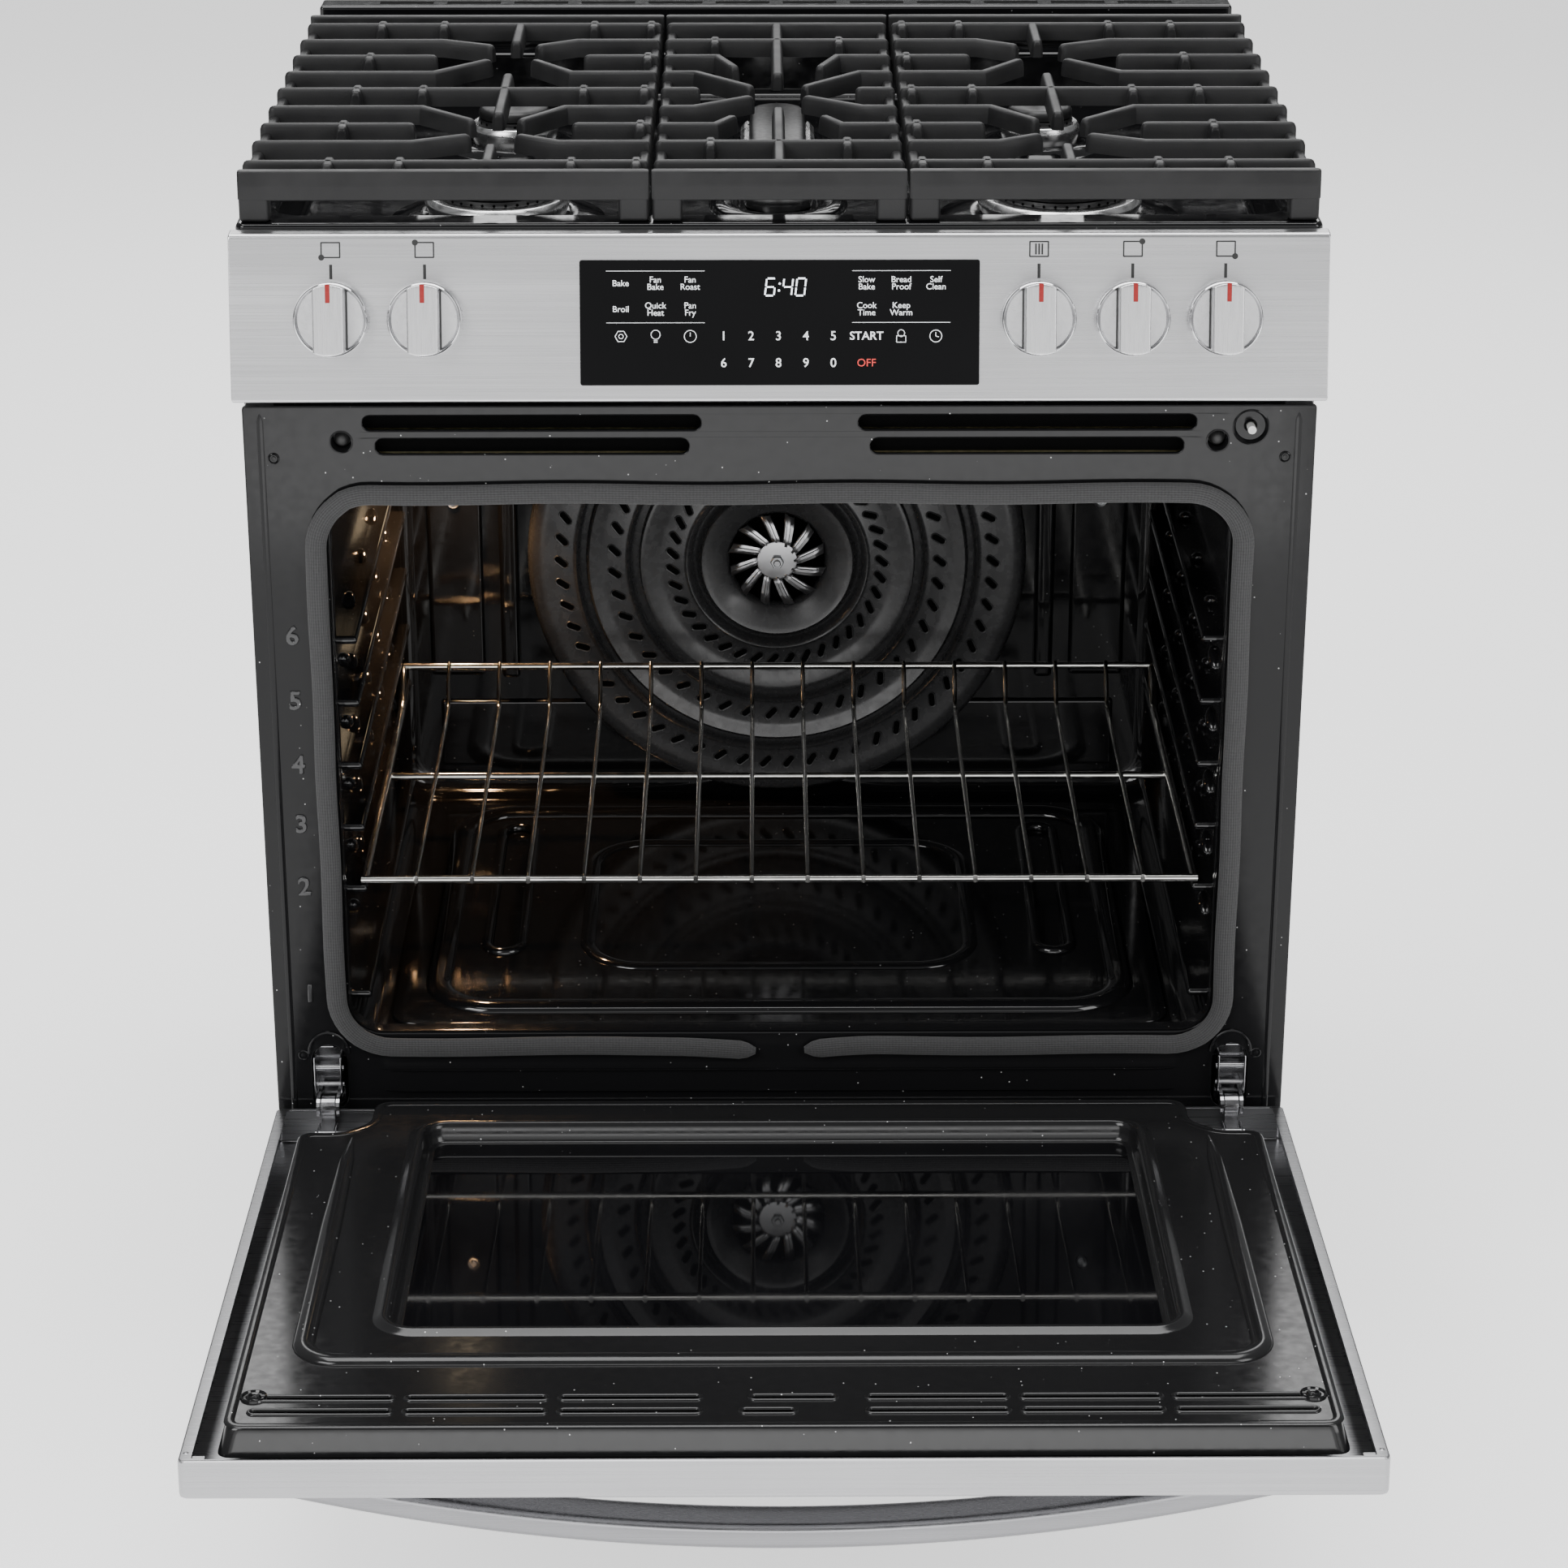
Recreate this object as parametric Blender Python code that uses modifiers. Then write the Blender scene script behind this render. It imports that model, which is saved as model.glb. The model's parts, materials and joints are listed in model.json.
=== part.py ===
"""A 30-inch freestanding gas range with its oven door open. Metres, +Z up, +X right, +Y to the back.

Sizes are given from the oven's front plane (Y = 0 there). The empty "range_origin" then moves that
plane, so that the open range is centred on the world origin.
"""

import math

import bmesh
import bpy
from mathutils import Matrix, Vector

# Overall sizes
FRONT_PLANE_Y = -0.0195  # the oven's front plane, in the world
BODY_HALF = 0.378  # half the body's width
PANEL_HALF = 0.381  # half the control panel's width
BODY_BACK = 0.6045  # the rear cover's outer face
SHEET = 0.0012  # sheet steel
GAP = 0.0003  # between pieces that touch

# Heights
LEG_TOP = 0.042
BODY_LOW = 0.0303
SIDE_TOP = 0.8525
DECK_Z = 0.889
BASIN_Z = 0.8545
GRATE_TOP = 0.925
FRAME_LOW, FRAME_TOP, FRAME_DEPTH = 0.187, 0.7615, 0.018

# Control panel: a sloped face from its front lower edge to its top edge
PANEL_LOW, PANEL_TOP = (-0.028, 0.772), (-0.001, 0.8855)
PANEL_BACK = 0.012
PANEL_TILT = math.atan2(PANEL_TOP[0] - PANEL_LOW[0], PANEL_TOP[1] - PANEL_LOW[1])
KNOB_X = {"left_front": -0.3102, "left_rear": -0.2454, "centre": 0.1793, "right_rear": 0.2442,
          "right_front": 0.3085}
KNOB_V = 0.0583  # up the sloped face
KNOB_RADIUS, KNOB_SKIRT, KNOB_DEPTH = 0.026, 0.0035, 0.0265

# Oven
MOUTH = (-0.321, 0.274, 0.321, 0.690)  # the front frame's opening: left, low, right, top
CAVITY = (-0.3195, 0.268, 0.3195, 0.6935)
CAVITY_BACK = 0.4805
FAN_Z = 0.4836
RACK_LEVELS = (0.298, 0.3846, 0.434, 0.4835, 0.533, 0.582)
RACK_Z = RACK_LEVELS[1]
RACK_FRONT, RACK_BACK, RACK_HALF = 0.030, 0.397, 0.3085
RACK_RAIL, RACK_WIRE = 0.003, 0.0018

# Door, in its closed place; the hinge then opens it
PIVOT = (0.0, -0.017, 0.220)
DOOR_OPEN = math.radians(86)
DOOR_FACE, DOOR_RIM = -0.050, -0.023  # the skin's outer face and the edge of its flanges
DOOR_LOW, DOOR_TOP, DOOR_HALF = 0.210, 0.7675, 0.3785
LINING = -0.009  # the inner panel's flat face
HINGE_X = 0.338
HANDLE_Z, HANDLE_HEIGHT, HANDLE_BOW, HANDLE_HALF = 0.720, 0.032, 0.046, 0.347

# Burners: place and radius of each ring
BURNERS = {"left_front": (-0.2045, 0.160, 0.053), "left_rear": (-0.2045, 0.383, 0.034),
           "right_front": (0.2045, 0.160, 0.060), "right_rear": (0.2045, 0.383, 0.031)}
OVAL_Y, OVAL_HALF_LENGTH, OVAL_HALF_WIDTH = 0.285, 0.118, 0.0285
BURNER_LOW, RING_TOP, CAP_TOP = 0.832, 0.871, 0.880

# Grates: left and right edges of each
GRATES = {"left": (-0.375, -0.0905), "centre": (-0.0885, 0.0885), "right": (0.0905, 0.375)}
GRATE_FRONT, GRATE_BACK = 0.016, 0.533
GRATE_ROWS = (0.0496, 0.107, 0.160, 0.214, 0.272, 0.327, 0.383, 0.439, 0.498)
BAR_WIDTH, BAR_HEIGHT, RIM_HEIGHT = 0.008, 0.013, 0.020

FINISHES = {  # colour, roughness, metallic
    "brushed_steel": ((0.55, 0.55, 0.56), 0.32, 1.0),
    "black_porcelain": ((0.012, 0.012, 0.013), 0.12, 0.0),
    "cast_iron": ((0.022, 0.022, 0.023), 0.55, 0.0),
    "black_glass": ((0.006, 0.006, 0.007), 0.05, 0.0),
    "plated_steel": ((0.62, 0.62, 0.60), 0.25, 1.0),
    "galvanised": ((0.45, 0.46, 0.47), 0.45, 1.0),
    "aluminium": ((0.72, 0.72, 0.72), 0.22, 1.0),
    "brass": ((0.60, 0.45, 0.20), 0.35, 1.0),
    "gasket": ((0.05, 0.05, 0.052), 0.9, 0.0),
    "fibreglass": ((0.72, 0.66, 0.45), 0.95, 0.0),
    "lamp_glass": ((0.85, 0.85, 0.80), 0.15, 0.0),
    "grey_paint": ((0.16, 0.16, 0.17), 0.5, 0.0),
}

TURNS = {"XY": (0, 0, 0), "XZ": (math.pi / 2, 0, 0), "YZ": (math.pi / 2, 0, math.pi / 2)}
NORMALS = {"XY": 2, "XZ": 1, "YZ": 0}

for leftover in list(bpy.data.objects):
    bpy.data.objects.remove(leftover)
PARTS = bpy.data.collections.new("gas_range")
CUTTERS = bpy.data.collections.new("cutters")
CUTTERS.hide_render = True
bpy.context.scene.collection.children.link(PARTS)
bpy.context.scene.collection.children.link(CUTTERS)


def empty(name, location, rotation=(0, 0, 0), parent=None):
    marker = bpy.data.objects.new(name, None)
    PARTS.objects.link(marker)
    marker.location = location
    marker.rotation_euler = rotation
    marker.parent = parent
    bpy.context.view_layer.update()
    return marker


ORIGIN = empty("range_origin", (0, FRONT_PLANE_Y, 0))
DOOR = empty("door_hinge", PIVOT, (DOOR_OPEN, 0, 0), ORIGIN)
FACE = empty("control_face", (0, *PANEL_LOW), (-PANEL_TILT, 0, 0), ORIGIN)


def add(name, mesh, finish, parent):
    """A new object under a parent. A door piece is placed where it is with the door closed."""
    piece = bpy.data.objects.new(name, mesh)
    PARTS.objects.link(piece)
    piece.parent = parent or ORIGIN
    if parent == DOOR:
        piece.matrix_parent_inverse = Matrix.Translation(Vector(PIVOT)).inverted()
    colour, roughness, metallic = FINISHES[finish or "grey_paint"]
    paint = bpy.data.materials.new(f"{name}_{finish or 'cutter'}")
    paint.use_nodes = True
    shader = paint.node_tree.nodes["Principled BSDF"]
    shader.inputs["Base Color"].default_value = (*colour, 1)
    shader.inputs["Roughness"].default_value = roughness
    shader.inputs["Metallic"].default_value = metallic
    mesh.materials.append(paint)
    return piece


def mesh_from(name, shape):
    mesh = bpy.data.meshes.new(name)
    shape.to_mesh(mesh)
    shape.free()
    return mesh


def box(name, low, high, finish=None, parent=None):
    low, high = Vector(low), Vector(high)
    shape = bmesh.new()
    bmesh.ops.create_cube(shape, size=1, matrix=Matrix.Diagonal((*(high - low), 1)))
    piece = add(name, mesh_from(name, shape), finish, parent)
    piece.location = (low + high) / 2
    return piece


def rod(name, start, end, radius, finish=None, parent=None, sides=16, end_radius=None):
    start, end = Vector(start), Vector(end)
    shape = bmesh.new()
    bmesh.ops.create_cone(shape, cap_ends=True, segments=sides, radius1=radius,
                          radius2=radius if end_radius is None else end_radius, depth=(end - start).length)
    mesh = mesh_from(name, shape)
    mesh.shade_smooth()
    mesh.set_sharp_from_angle(angle=math.radians(40))
    piece = add(name, mesh, finish, parent)
    piece.location = (start + end) / 2
    piece.rotation_euler = (end - start).to_track_quat("Z", "Y").to_euler()
    return piece


def solid_from_curve(name, curve, finish, parent):
    """The curve's mesh with its caps welded on."""
    guide = bpy.data.objects.new(name, curve)
    PARTS.objects.link(guide)
    bpy.context.view_layer.update()
    evaluated = guide.evaluated_get(bpy.context.evaluated_depsgraph_get())
    mesh = bpy.data.meshes.new_from_object(evaluated)
    bpy.data.objects.remove(guide)
    mesh.materials.clear()
    shape = bmesh.new()
    shape.from_mesh(mesh)
    bmesh.ops.remove_doubles(shape, verts=shape.verts, dist=0.00001)
    bmesh.ops.recalc_face_normals(shape, faces=shape.faces)
    shape.to_mesh(mesh)
    shape.free()
    mesh.name = name
    return add(name, mesh, finish, parent)


def plate(name, loops, plane, low, high, finish=None, parent=None):
    """Flat outlines, the inner ones holes, given thickness from low to high across their plane."""
    curve = bpy.data.curves.new(name, "CURVE")
    curve.dimensions = "2D"
    curve.fill_mode = "BOTH"
    curve.extrude = (high - low) / 2
    for loop in loops:
        spline = curve.splines.new("POLY")
        spline.points.add(len(loop) - 1)
        for point, (across, up) in zip(spline.points, loop, strict=True):
            point.co = (across, up, 0, 1)
        spline.use_cyclic_u = True
    piece = solid_from_curve(name, curve, finish, parent)
    piece.rotation_euler = TURNS[plane]
    piece.location[NORMALS[plane]] = (low + high) / 2
    return piece


def tube(name, points, radius, finish=None, parent=None, resolution=1):
    curve = bpy.data.curves.new(name, "CURVE")
    curve.dimensions = "3D"
    curve.bevel_depth = radius
    curve.bevel_resolution = resolution
    curve.use_fill_caps = True
    spline = curve.splines.new("POLY")
    spline.points.add(len(points) - 1)
    for point, place in zip(spline.points, points, strict=True):
        point.co = (*place, 1)
    return solid_from_curve(name, curve, finish, parent)


def turned(name, profile, location, finish, steps=24, parent=None):
    """A profile of (radius, height) points, from the top down its outer side, turned about Z."""
    mesh = bpy.data.meshes.new(name)
    mesh.from_pydata([(r, 0, z) for r, z in profile], [(i, i + 1) for i in range(len(profile) - 1)], [])
    piece = add(name, mesh, finish, parent)
    piece.location = location
    screw = piece.modifiers.new("turn", "SCREW")
    screw.steps = screw.render_steps = steps
    screw.use_merge_vertices = True
    screw.merge_threshold = 0.00001
    return piece


def combine(target, operation, tools):
    group = bpy.data.collections.new(f"{target.name}_{operation.lower()}")
    group.hide_render = True
    CUTTERS.children.link(group)
    for tool in tools:
        PARTS.objects.unlink(tool)
        group.objects.link(tool)
        tool.hide_render = True
        tool.display_type = "WIRE"
    change = target.modifiers.new(operation.lower(), "BOOLEAN")
    change.operation = operation
    change.operand_type = "COLLECTION"
    change.collection = group
    change.solver = "EXACT"
    return target


def unite(target, *tools):
    return combine(target, "UNION", tools)


def cut(target, *tools):
    return combine(target, "DIFFERENCE", tools)


def rounded(left, low, right, top, radius, steps=4):
    """A rectangle with round corners, as a list of points."""
    corners = ((right - radius, top - radius, 0), (left + radius, top - radius, 90),
               (left + radius, low + radius, 180), (right - radius, low + radius, 270))
    points = []
    for across, up, first in corners:
        for step in range(steps + 1):
            angle = math.radians(first + 90 * step / steps)
            points.append((across + radius * math.cos(angle), up + radius * math.sin(angle)))
    return points


def stadium(left, low, right, top, steps=2):
    return rounded(left, low, right, top, min(right - left, top - low) / 2 * 0.999, steps)


def inset(area, margin):
    left, low, right, top = area
    return left + margin, low + margin, right - margin, top - margin


def body_shell():
    for side, name in ((-1, "left"), (1, "right")):
        outer = sorted((side * 0.3575, side * BODY_HALF))
        inner = sorted((side * 0.350, side * (BODY_HALF - SHEET)))
        panel = box(f"side_panel_{name}", (outer[0], FRAME_DEPTH + GAP, BODY_LOW),
                    (outer[1], 0.6032, SIDE_TOP),
                    "grey_paint")
        cut(panel, box("side_hollow", (inner[0], FRAME_DEPTH + GAP + SHEET, BODY_LOW + SHEET),
                       (inner[1], 0.6020, SIDE_TOP + 0.01)))
    rear = box("rear_cover", (-BODY_HALF, 0.6035, 0.031), (BODY_HALF, BODY_BACK, SIDE_TOP), "galvanised")
    vents = [box("rear_vent", (-0.28, 0.59, z), (0.20, 0.62, z + 0.006)) for z in (0.60, 0.62, 0.64)]
    cut(rear, *vents, rod("inlet_hole", (0.33, 0.59, 0.8171), (0.33, 0.62, 0.8171), 0.012))


def base_pan():
    low = 0.0320
    pan = box("base_pan", (-0.3565, 0.0200, low), (0.3565, 0.6015, low + 0.012), "galvanised")
    hollow = box("pan_hollow", (-0.3553, 0.0212, low + SHEET), (0.3553, 0.6003, low + 0.03))
    holes = [rod("leg_hole", (x, y, 0.02), (x, y, 0.08), 0.0058) for x, y in leg_places()]
    cut(pan, hollow, *holes)
    glides = [box("drawer_glide", (x - 0.012, 0.030, low + 0.0006), (x + 0.012, 0.550, 0.0445))
              for x in (-0.290, 0.290)]
    unite(pan, *glides)


def leg_places():
    return [(x, y) for y in (0.060, 0.560) for x in (-0.332, 0.332)]


def levelling_legs():
    profile = [(0, LEG_TOP), (0.005, LEG_TOP), (0.005, 0.012), (0.013, 0.010), (0.017, 0.004),
               (0.017, 0), (0, 0)]
    names = ("front_left", "front_right", "rear_left", "rear_right")
    for name, (x, y) in zip(names, leg_places(), strict=True):
        turned(f"levelling_leg_{name}", profile, (x, y, 0), "grey_paint", steps=12)


def front_frame():
    frame = box("front_frame", (-BODY_HALF, 0, FRAME_LOW), (BODY_HALF, FRAME_DEPTH, FRAME_TOP),
                "black_porcelain")
    wall = 0.0015
    cuts = [box("frame_hollow", (-BODY_HALF + wall, wall, FRAME_LOW + wall),
                (BODY_HALF - wall, 0.03, FRAME_TOP - wall)),
            plate("mouth", [rounded(*MOUTH, 0.024)], "XZ", -0.01, 0.01)]
    for side in (-1, 1):
        middle = side * 0.1745
        cuts.append(plate("upper_vent", [stadium(middle - 0.119, 0.7435, middle + 0.119, 0.754)], "XZ",
                          -0.01, 0.01))
        cuts.append(plate("lower_vent", [stadium(middle - 0.1105, 0.726, middle + 0.1105, 0.737)], "XZ",
                          -0.01, 0.01))
        cuts.append(plate("hinge_slot", [stadium(side * HINGE_X - 0.013, 0.207, side * HINGE_X + 0.013,
                                                 0.262)],
                          "XZ", -0.01, 0.01))
    cut(frame, *cuts)
    guide = rod("switch_guide", (0.332, 0.0005, 0.745), (0.332, 0.016, 0.745), 0.008)
    unite(frame, guide)
    cut(frame, rod("switch_bore", (0.332, -0.01, 0.745), (0.332, 0.03, 0.745), 0.0036))
    rod("switch_plunger", (0.332, -0.0076, 0.745), (0.332, 0.0215, 0.745), 0.003, "lamp_glass", sides=12)


def oven_liner():
    wall = 0.0015
    left, low, right, top = CAVITY
    outer = (left - wall, low - wall, right + wall, top + wall)
    liner = plate("oven_liner", [rounded(*outer, 0.0265)], "XZ", 0.002, CAVITY_BACK + wall,
                  "black_porcelain")
    flange = plate("liner_flange", [rounded(-0.345, 0.2635, 0.345, 0.715, 0.02)], "XZ", 0.0018, 0.0033)
    burner_box = box("burner_box", (-0.250, 0.060, 0.205), (0.250, 0.440, 0.2675))
    unite(liner, flange, burner_box)
    cut(liner,
        plate("cavity", [rounded(*CAVITY, 0.025)], "XZ", -0.01, CAVITY_BACK),
        box("burner_space", (-0.2485, 0.0615, 0.2065), (0.2485, 0.4385, 0.290)),
        rod("shaft_hole", (0, 0.47, FAN_Z), (0, 0.49, FAN_Z), 0.008))
    ribs = []
    for level in RACK_LEVELS:
        for side in (-1, 1):
            x = sorted((side * 0.3065, side * (right + 0.0006)))
            ribs.append(box("rack_guide", (x[0], 0.025, level - 0.0095), (x[1], 0.455, level - 0.0033)))
    unite(liner, *ribs)


def oven_inside():
    floor = plate("oven_floor_cover", [rounded(-0.293, 0.020, 0.293, 0.445, 0.02)], "XY", 0.2683, 0.2705,
                  "black_porcelain")
    cut(floor, *[plate("floor_slot", [stadium(x - 0.011, 0.135, x + 0.011, 0.395)], "XY", 0.26, 0.28)
                 for x in (-0.2155, 0.2155)])
    blanket = box("insulation_blanket", (-0.352, 0.022, 0.270), (0.352, 0.518, 0.730), "fibreglass")
    cut(blanket, box("oven_space", (-0.3225, 0.0, 0.260), (0.3225, 0.4835, 0.6965)),
        rod("motor_neck", (0, 0.47, FAN_Z), (0, 0.53, FAN_Z), 0.030))
    lamp_x, lamp_z = -0.277, 0.640
    lamp = turned("oven_lamp", [(0, 0.021), (0.012, 0.019), (0.020, 0.012), (0.022, 0.003), (0.025, 0.003),
                                (0.025, 0), (0, 0)], (lamp_x, CAVITY_BACK - GAP, lamp_z), "lamp_glass", 16)
    lamp.rotation_euler = (math.pi / 2, 0, 0)
    bake = [(0.17, 0.41, 0.237), (0.17, 0.12, 0.237), (0.13, 0.09, 0.237), (-0.13, 0.09, 0.237),
            (-0.17, 0.12, 0.237), (-0.17, 0.41, 0.237)]
    tube("bake_burner", bake, 0.010, "plated_steel")
    broil = box("broil_burner", (-0.20, 0.10, 0.677), (0.20, 0.40, 0.6925), "plated_steel")
    cut(broil, box("broil_hollow", (-0.1985, 0.1015, 0.67), (0.1985, 0.3985, 0.691)))
    unite(broil, rod("broil_tube", (0, 0.0995, 0.683), (0, 0.40, 0.683), 0.0085))


def fan():
    cover = box("fan_cover", (-0.240, 0.452, 0.290), (0.240, CAVITY_BACK - GAP, 0.685), "black_porcelain")
    slots = [box("fan_slot", (x - 0.004, 0.44, FAN_Z - 0.11), (x + 0.004, 0.46, FAN_Z + 0.11))
             for x in (-0.20, -0.155, -0.11, 0.11, 0.155, 0.20)]
    cut(cover, box("cover_hollow", (-0.2388, 0.4532, 0.2912), (0.2388, 0.49, 0.6838)),
        rod("fan_eye", (0, 0.44, FAN_Z), (0, 0.46, FAN_Z), 0.045, sides=20), *slots)
    impeller = rod("fan_impeller", (0, 0.4570, FAN_Z), (0, 0.4745, FAN_Z), 0.013, "aluminium")
    blades = []
    for n in range(12):
        blade = box("fan_blade", (-0.0008, -0.0065, -0.021), (0.0008, 0.0065, 0.021))
        angle = math.tau * n / 12
        blade.location = (0.0310 * math.sin(angle), 0.4665, FAN_Z + 0.0310 * math.cos(angle))
        blade.rotation_euler = (0, angle, 0)
        blades.append(blade)
    unite(impeller, rod("fan_disc", (0, 0.4725, FAN_Z), (0, 0.4740, FAN_Z), 0.055, sides=24),
          rod("fan_shaft", (0, 0.4535, FAN_Z), (0, 0.548, FAN_Z), 0.004, sides=12), *blades)
    motor = rod("fan_motor", (0, 0.5195, FAN_Z), (0, 0.565, FAN_Z), 0.036, "galvanised", sides=20)
    unite(motor, box("motor_plate", (-0.05, 0.5185, FAN_Z - 0.05), (0.05, 0.5200, FAN_Z + 0.05)))
    cut(motor, rod("motor_bore", (0, 0.51, FAN_Z), (0, 0.552, FAN_Z), 0.0048, sides=12))


def door_gasket():
    outer, inner = (-0.3385, 0.2545, 0.3385, 0.705), (-0.3225, 0.2705, 0.3225, 0.689)
    ring = plate("door_gasket", [rounded(*outer, 0.046, 6), rounded(*inner, 0.030, 6)], "XZ", -0.0078, -GAP,
                 "gasket")
    cut(ring, box("gasket_gap", (-0.014, -0.02, 0.245), (0.014, 0.01, 0.280)))


def control_panel():
    (y0, z0), (y1, z1) = PANEL_LOW, PANEL_TOP
    slope = (y1 - y0) / (z1 - z0)
    panel = plate("control_panel", [[(y0, z0), (PANEL_BACK, z0), (PANEL_BACK, z1), (y1, z1)]], "YZ",
                  -PANEL_HALF, PANEL_HALF, "brushed_steel")
    step = SHEET / math.cos(PANEL_TILT)
    low, high = z0 + SHEET, z1 - SHEET
    hollow = plate("panel_hollow", [[(y0 + slope * SHEET + step, low), (0.03, low), (0.03, high),
                                     (y1 - slope * SHEET + step, high)]], "YZ",
                   -PANEL_HALF + SHEET, PANEL_HALF - SHEET)
    window = box("glass_seat", (-0.132, -0.01, 0.018), (0.132, 0.01, 0.093), parent=FACE)
    holes = [rod("stem_hole", (x, -0.01, KNOB_V), (x, 0.01, KNOB_V), 0.0065, parent=FACE)
             for x in KNOB_X.values()]
    cut(panel, hollow, window, *holes)
    box("control_glass", (-0.1384, -0.0019, 0.0123), (0.1384, -GAP, 0.0987), "black_glass", FACE)


def knobs():
    for name, x in KNOB_X.items():
        axis = empty(f"knob_axis_{name}", (x, 0, KNOB_V), (0, 0, 0), FACE)
        rod(f"valve_stem_{name}", (0, 0.030, 0), (0, -0.0135, 0), 0.0038, "brass", axis, 12)
        knob = rod(f"knob_{name}", (0, -KNOB_SKIRT, 0), (0, -0.0125, 0), KNOB_RADIUS, "brushed_steel",
                   axis, 24)
        grip = box("grip", (-0.0107, -KNOB_DEPTH, -0.0245), (0.0107, -0.0115, 0.0245), parent=axis)
        unite(knob, grip)
        cut(knob, rod("stem_bore", (0, 0.01, 0), (0, -0.0145, 0), 0.0043, parent=axis, sides=12))


def gas_manifold():
    depth = 0.050
    inward = Vector((0, math.cos(PANEL_TILT), -math.sin(PANEL_TILT)))
    up = Vector((0, math.sin(PANEL_TILT), math.cos(PANEL_TILT)))
    rail = Vector((0, *PANEL_LOW)) + up * KNOB_V + inward * depth
    pipe = rod("gas_manifold", (-0.330, rail.y, rail.z), (0.3395, rail.y, rail.z), 0.009, "galvanised",
               sides=12)
    valves = [rod("valve_body", (x, 0.010, KNOB_V), (x, depth, KNOB_V), 0.0115, parent=FACE, sides=12)
              for x in KNOB_X.values()]
    inlet = rod("gas_inlet", (0.330, rail.y - 0.004, rail.z), (0.330, 0.6040, rail.z), 0.0092, sides=12)
    supplies = [rod("burner_tube", (x * 0.9, rail.y, rail.z), (x, y - 0.012, 0.826), 0.004, sides=8)
                for x, y, _ in BURNERS.values()]
    supplies.append(rod("burner_tube", (0, rail.y, rail.z), (0, OVAL_Y - 0.012, 0.826), 0.004, sides=8))
    unite(pipe, inlet, *valves, *supplies)
    cut(pipe, *[rod("valve_bore", (x, 0, KNOB_V), (x, 0.0345, KNOB_V), 0.0044, parent=FACE, sides=12)
                for x in KNOB_X.values()])


def cooktop():
    front, back, low = 0.0125, 0.5745, BASIN_Z - 0.0015
    top = box("cooktop", (-0.3778, front, low), (0.3778, back, DECK_Z), "black_porcelain")
    basin = (-0.352, 0.040, 0.352, 0.552)
    skirt = [rounded(-0.3766, front + SHEET, 0.3766, back - SHEET, 0.004, 1),
             rounded(*inset(basin, -0.0013), 0.021)]
    holes = [rod("burner_hole", (x, y, 0.84), (x, y, 0.87), 0.021) for x, y, _ in BURNERS.values()]
    holes.append(plate("oval_hole", [stadium(-0.017, OVAL_Y - 0.09, 0.017, OVAL_Y + 0.09)], "XY", 0.84,
                       0.87))
    cut(top, plate("basin", [rounded(*basin, 0.020)], "XY", BASIN_Z, DECK_Z + 0.01),
        plate("skirt_hollow", skirt, "XY", low - 0.01, DECK_Z - SHEET), *holes)
    trim = box("rear_trim", (-0.373, 0.5748, 0.8530), (0.373, 0.6032, 0.923), "black_porcelain")
    cut(trim, box("trim_hollow", (-0.3718, 0.5760, 0.84), (0.3718, 0.6020, 0.9218)),
        *[plate("vent_slot", [stadium(x - 0.026, 0.583, x + 0.026, 0.595)], "XY", 0.91, 0.93)
          for x in (-0.15, -0.09, -0.03, 0.03, 0.09, 0.15)])


def burners():
    low = BASIN_Z + GAP
    for name, (x, y, radius) in BURNERS.items():
        profile = [(0, RING_TOP), (radius * 0.86, RING_TOP), (radius, 0.864), (radius, 0.861),
                   (radius * 0.7, low),
                   (0.018, low), (0.018, BURNER_LOW), (0, BURNER_LOW)]
        turned(f"burner_base_{name}", profile, (x, y, 0), "aluminium", 20)
        turned(f"burner_cap_{name}", [(0, CAP_TOP), (radius * 0.74, CAP_TOP),
                                      (radius * 0.80, CAP_TOP - 0.003),
                                      (radius * 0.80, RING_TOP + GAP), (0, RING_TOP + GAP)],
               (x, y, 0), "cast_iron", 20)
    half, length = OVAL_HALF_WIDTH, OVAL_HALF_LENGTH
    ring = plate("burner_base_centre", [stadium(-half, OVAL_Y - length, half, OVAL_Y + length, 6)], "XY",
                 low, RING_TOP, "aluminium")
    unite(ring, plate("oval_stub", [stadium(-0.014, OVAL_Y - 0.085, 0.014, OVAL_Y + 0.085)], "XY",
                      BURNER_LOW, low + 0.002))
    plate("burner_cap_centre", [stadium(-0.021, OVAL_Y - length + 0.010, 0.021, OVAL_Y + length - 0.010,
                                        6)], "XY",
          RING_TOP + GAP, CAP_TOP, "cast_iron")


def bar(start, end, low=GRATE_TOP - BAR_HEIGHT, width=BAR_WIDTH):
    """A level cast bar between two (x, y) points."""
    start, end = Vector(start), Vector(end)
    along = end - start
    piece = box("bar", (-along.length / 2, -width / 2, low), (along.length / 2, width / 2, GRATE_TOP))
    piece.location = (*(start + end) / 2, (low + GRATE_TOP) / 2)
    piece.rotation_euler = (0, 0, math.atan2(along.y, along.x))
    return piece


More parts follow.
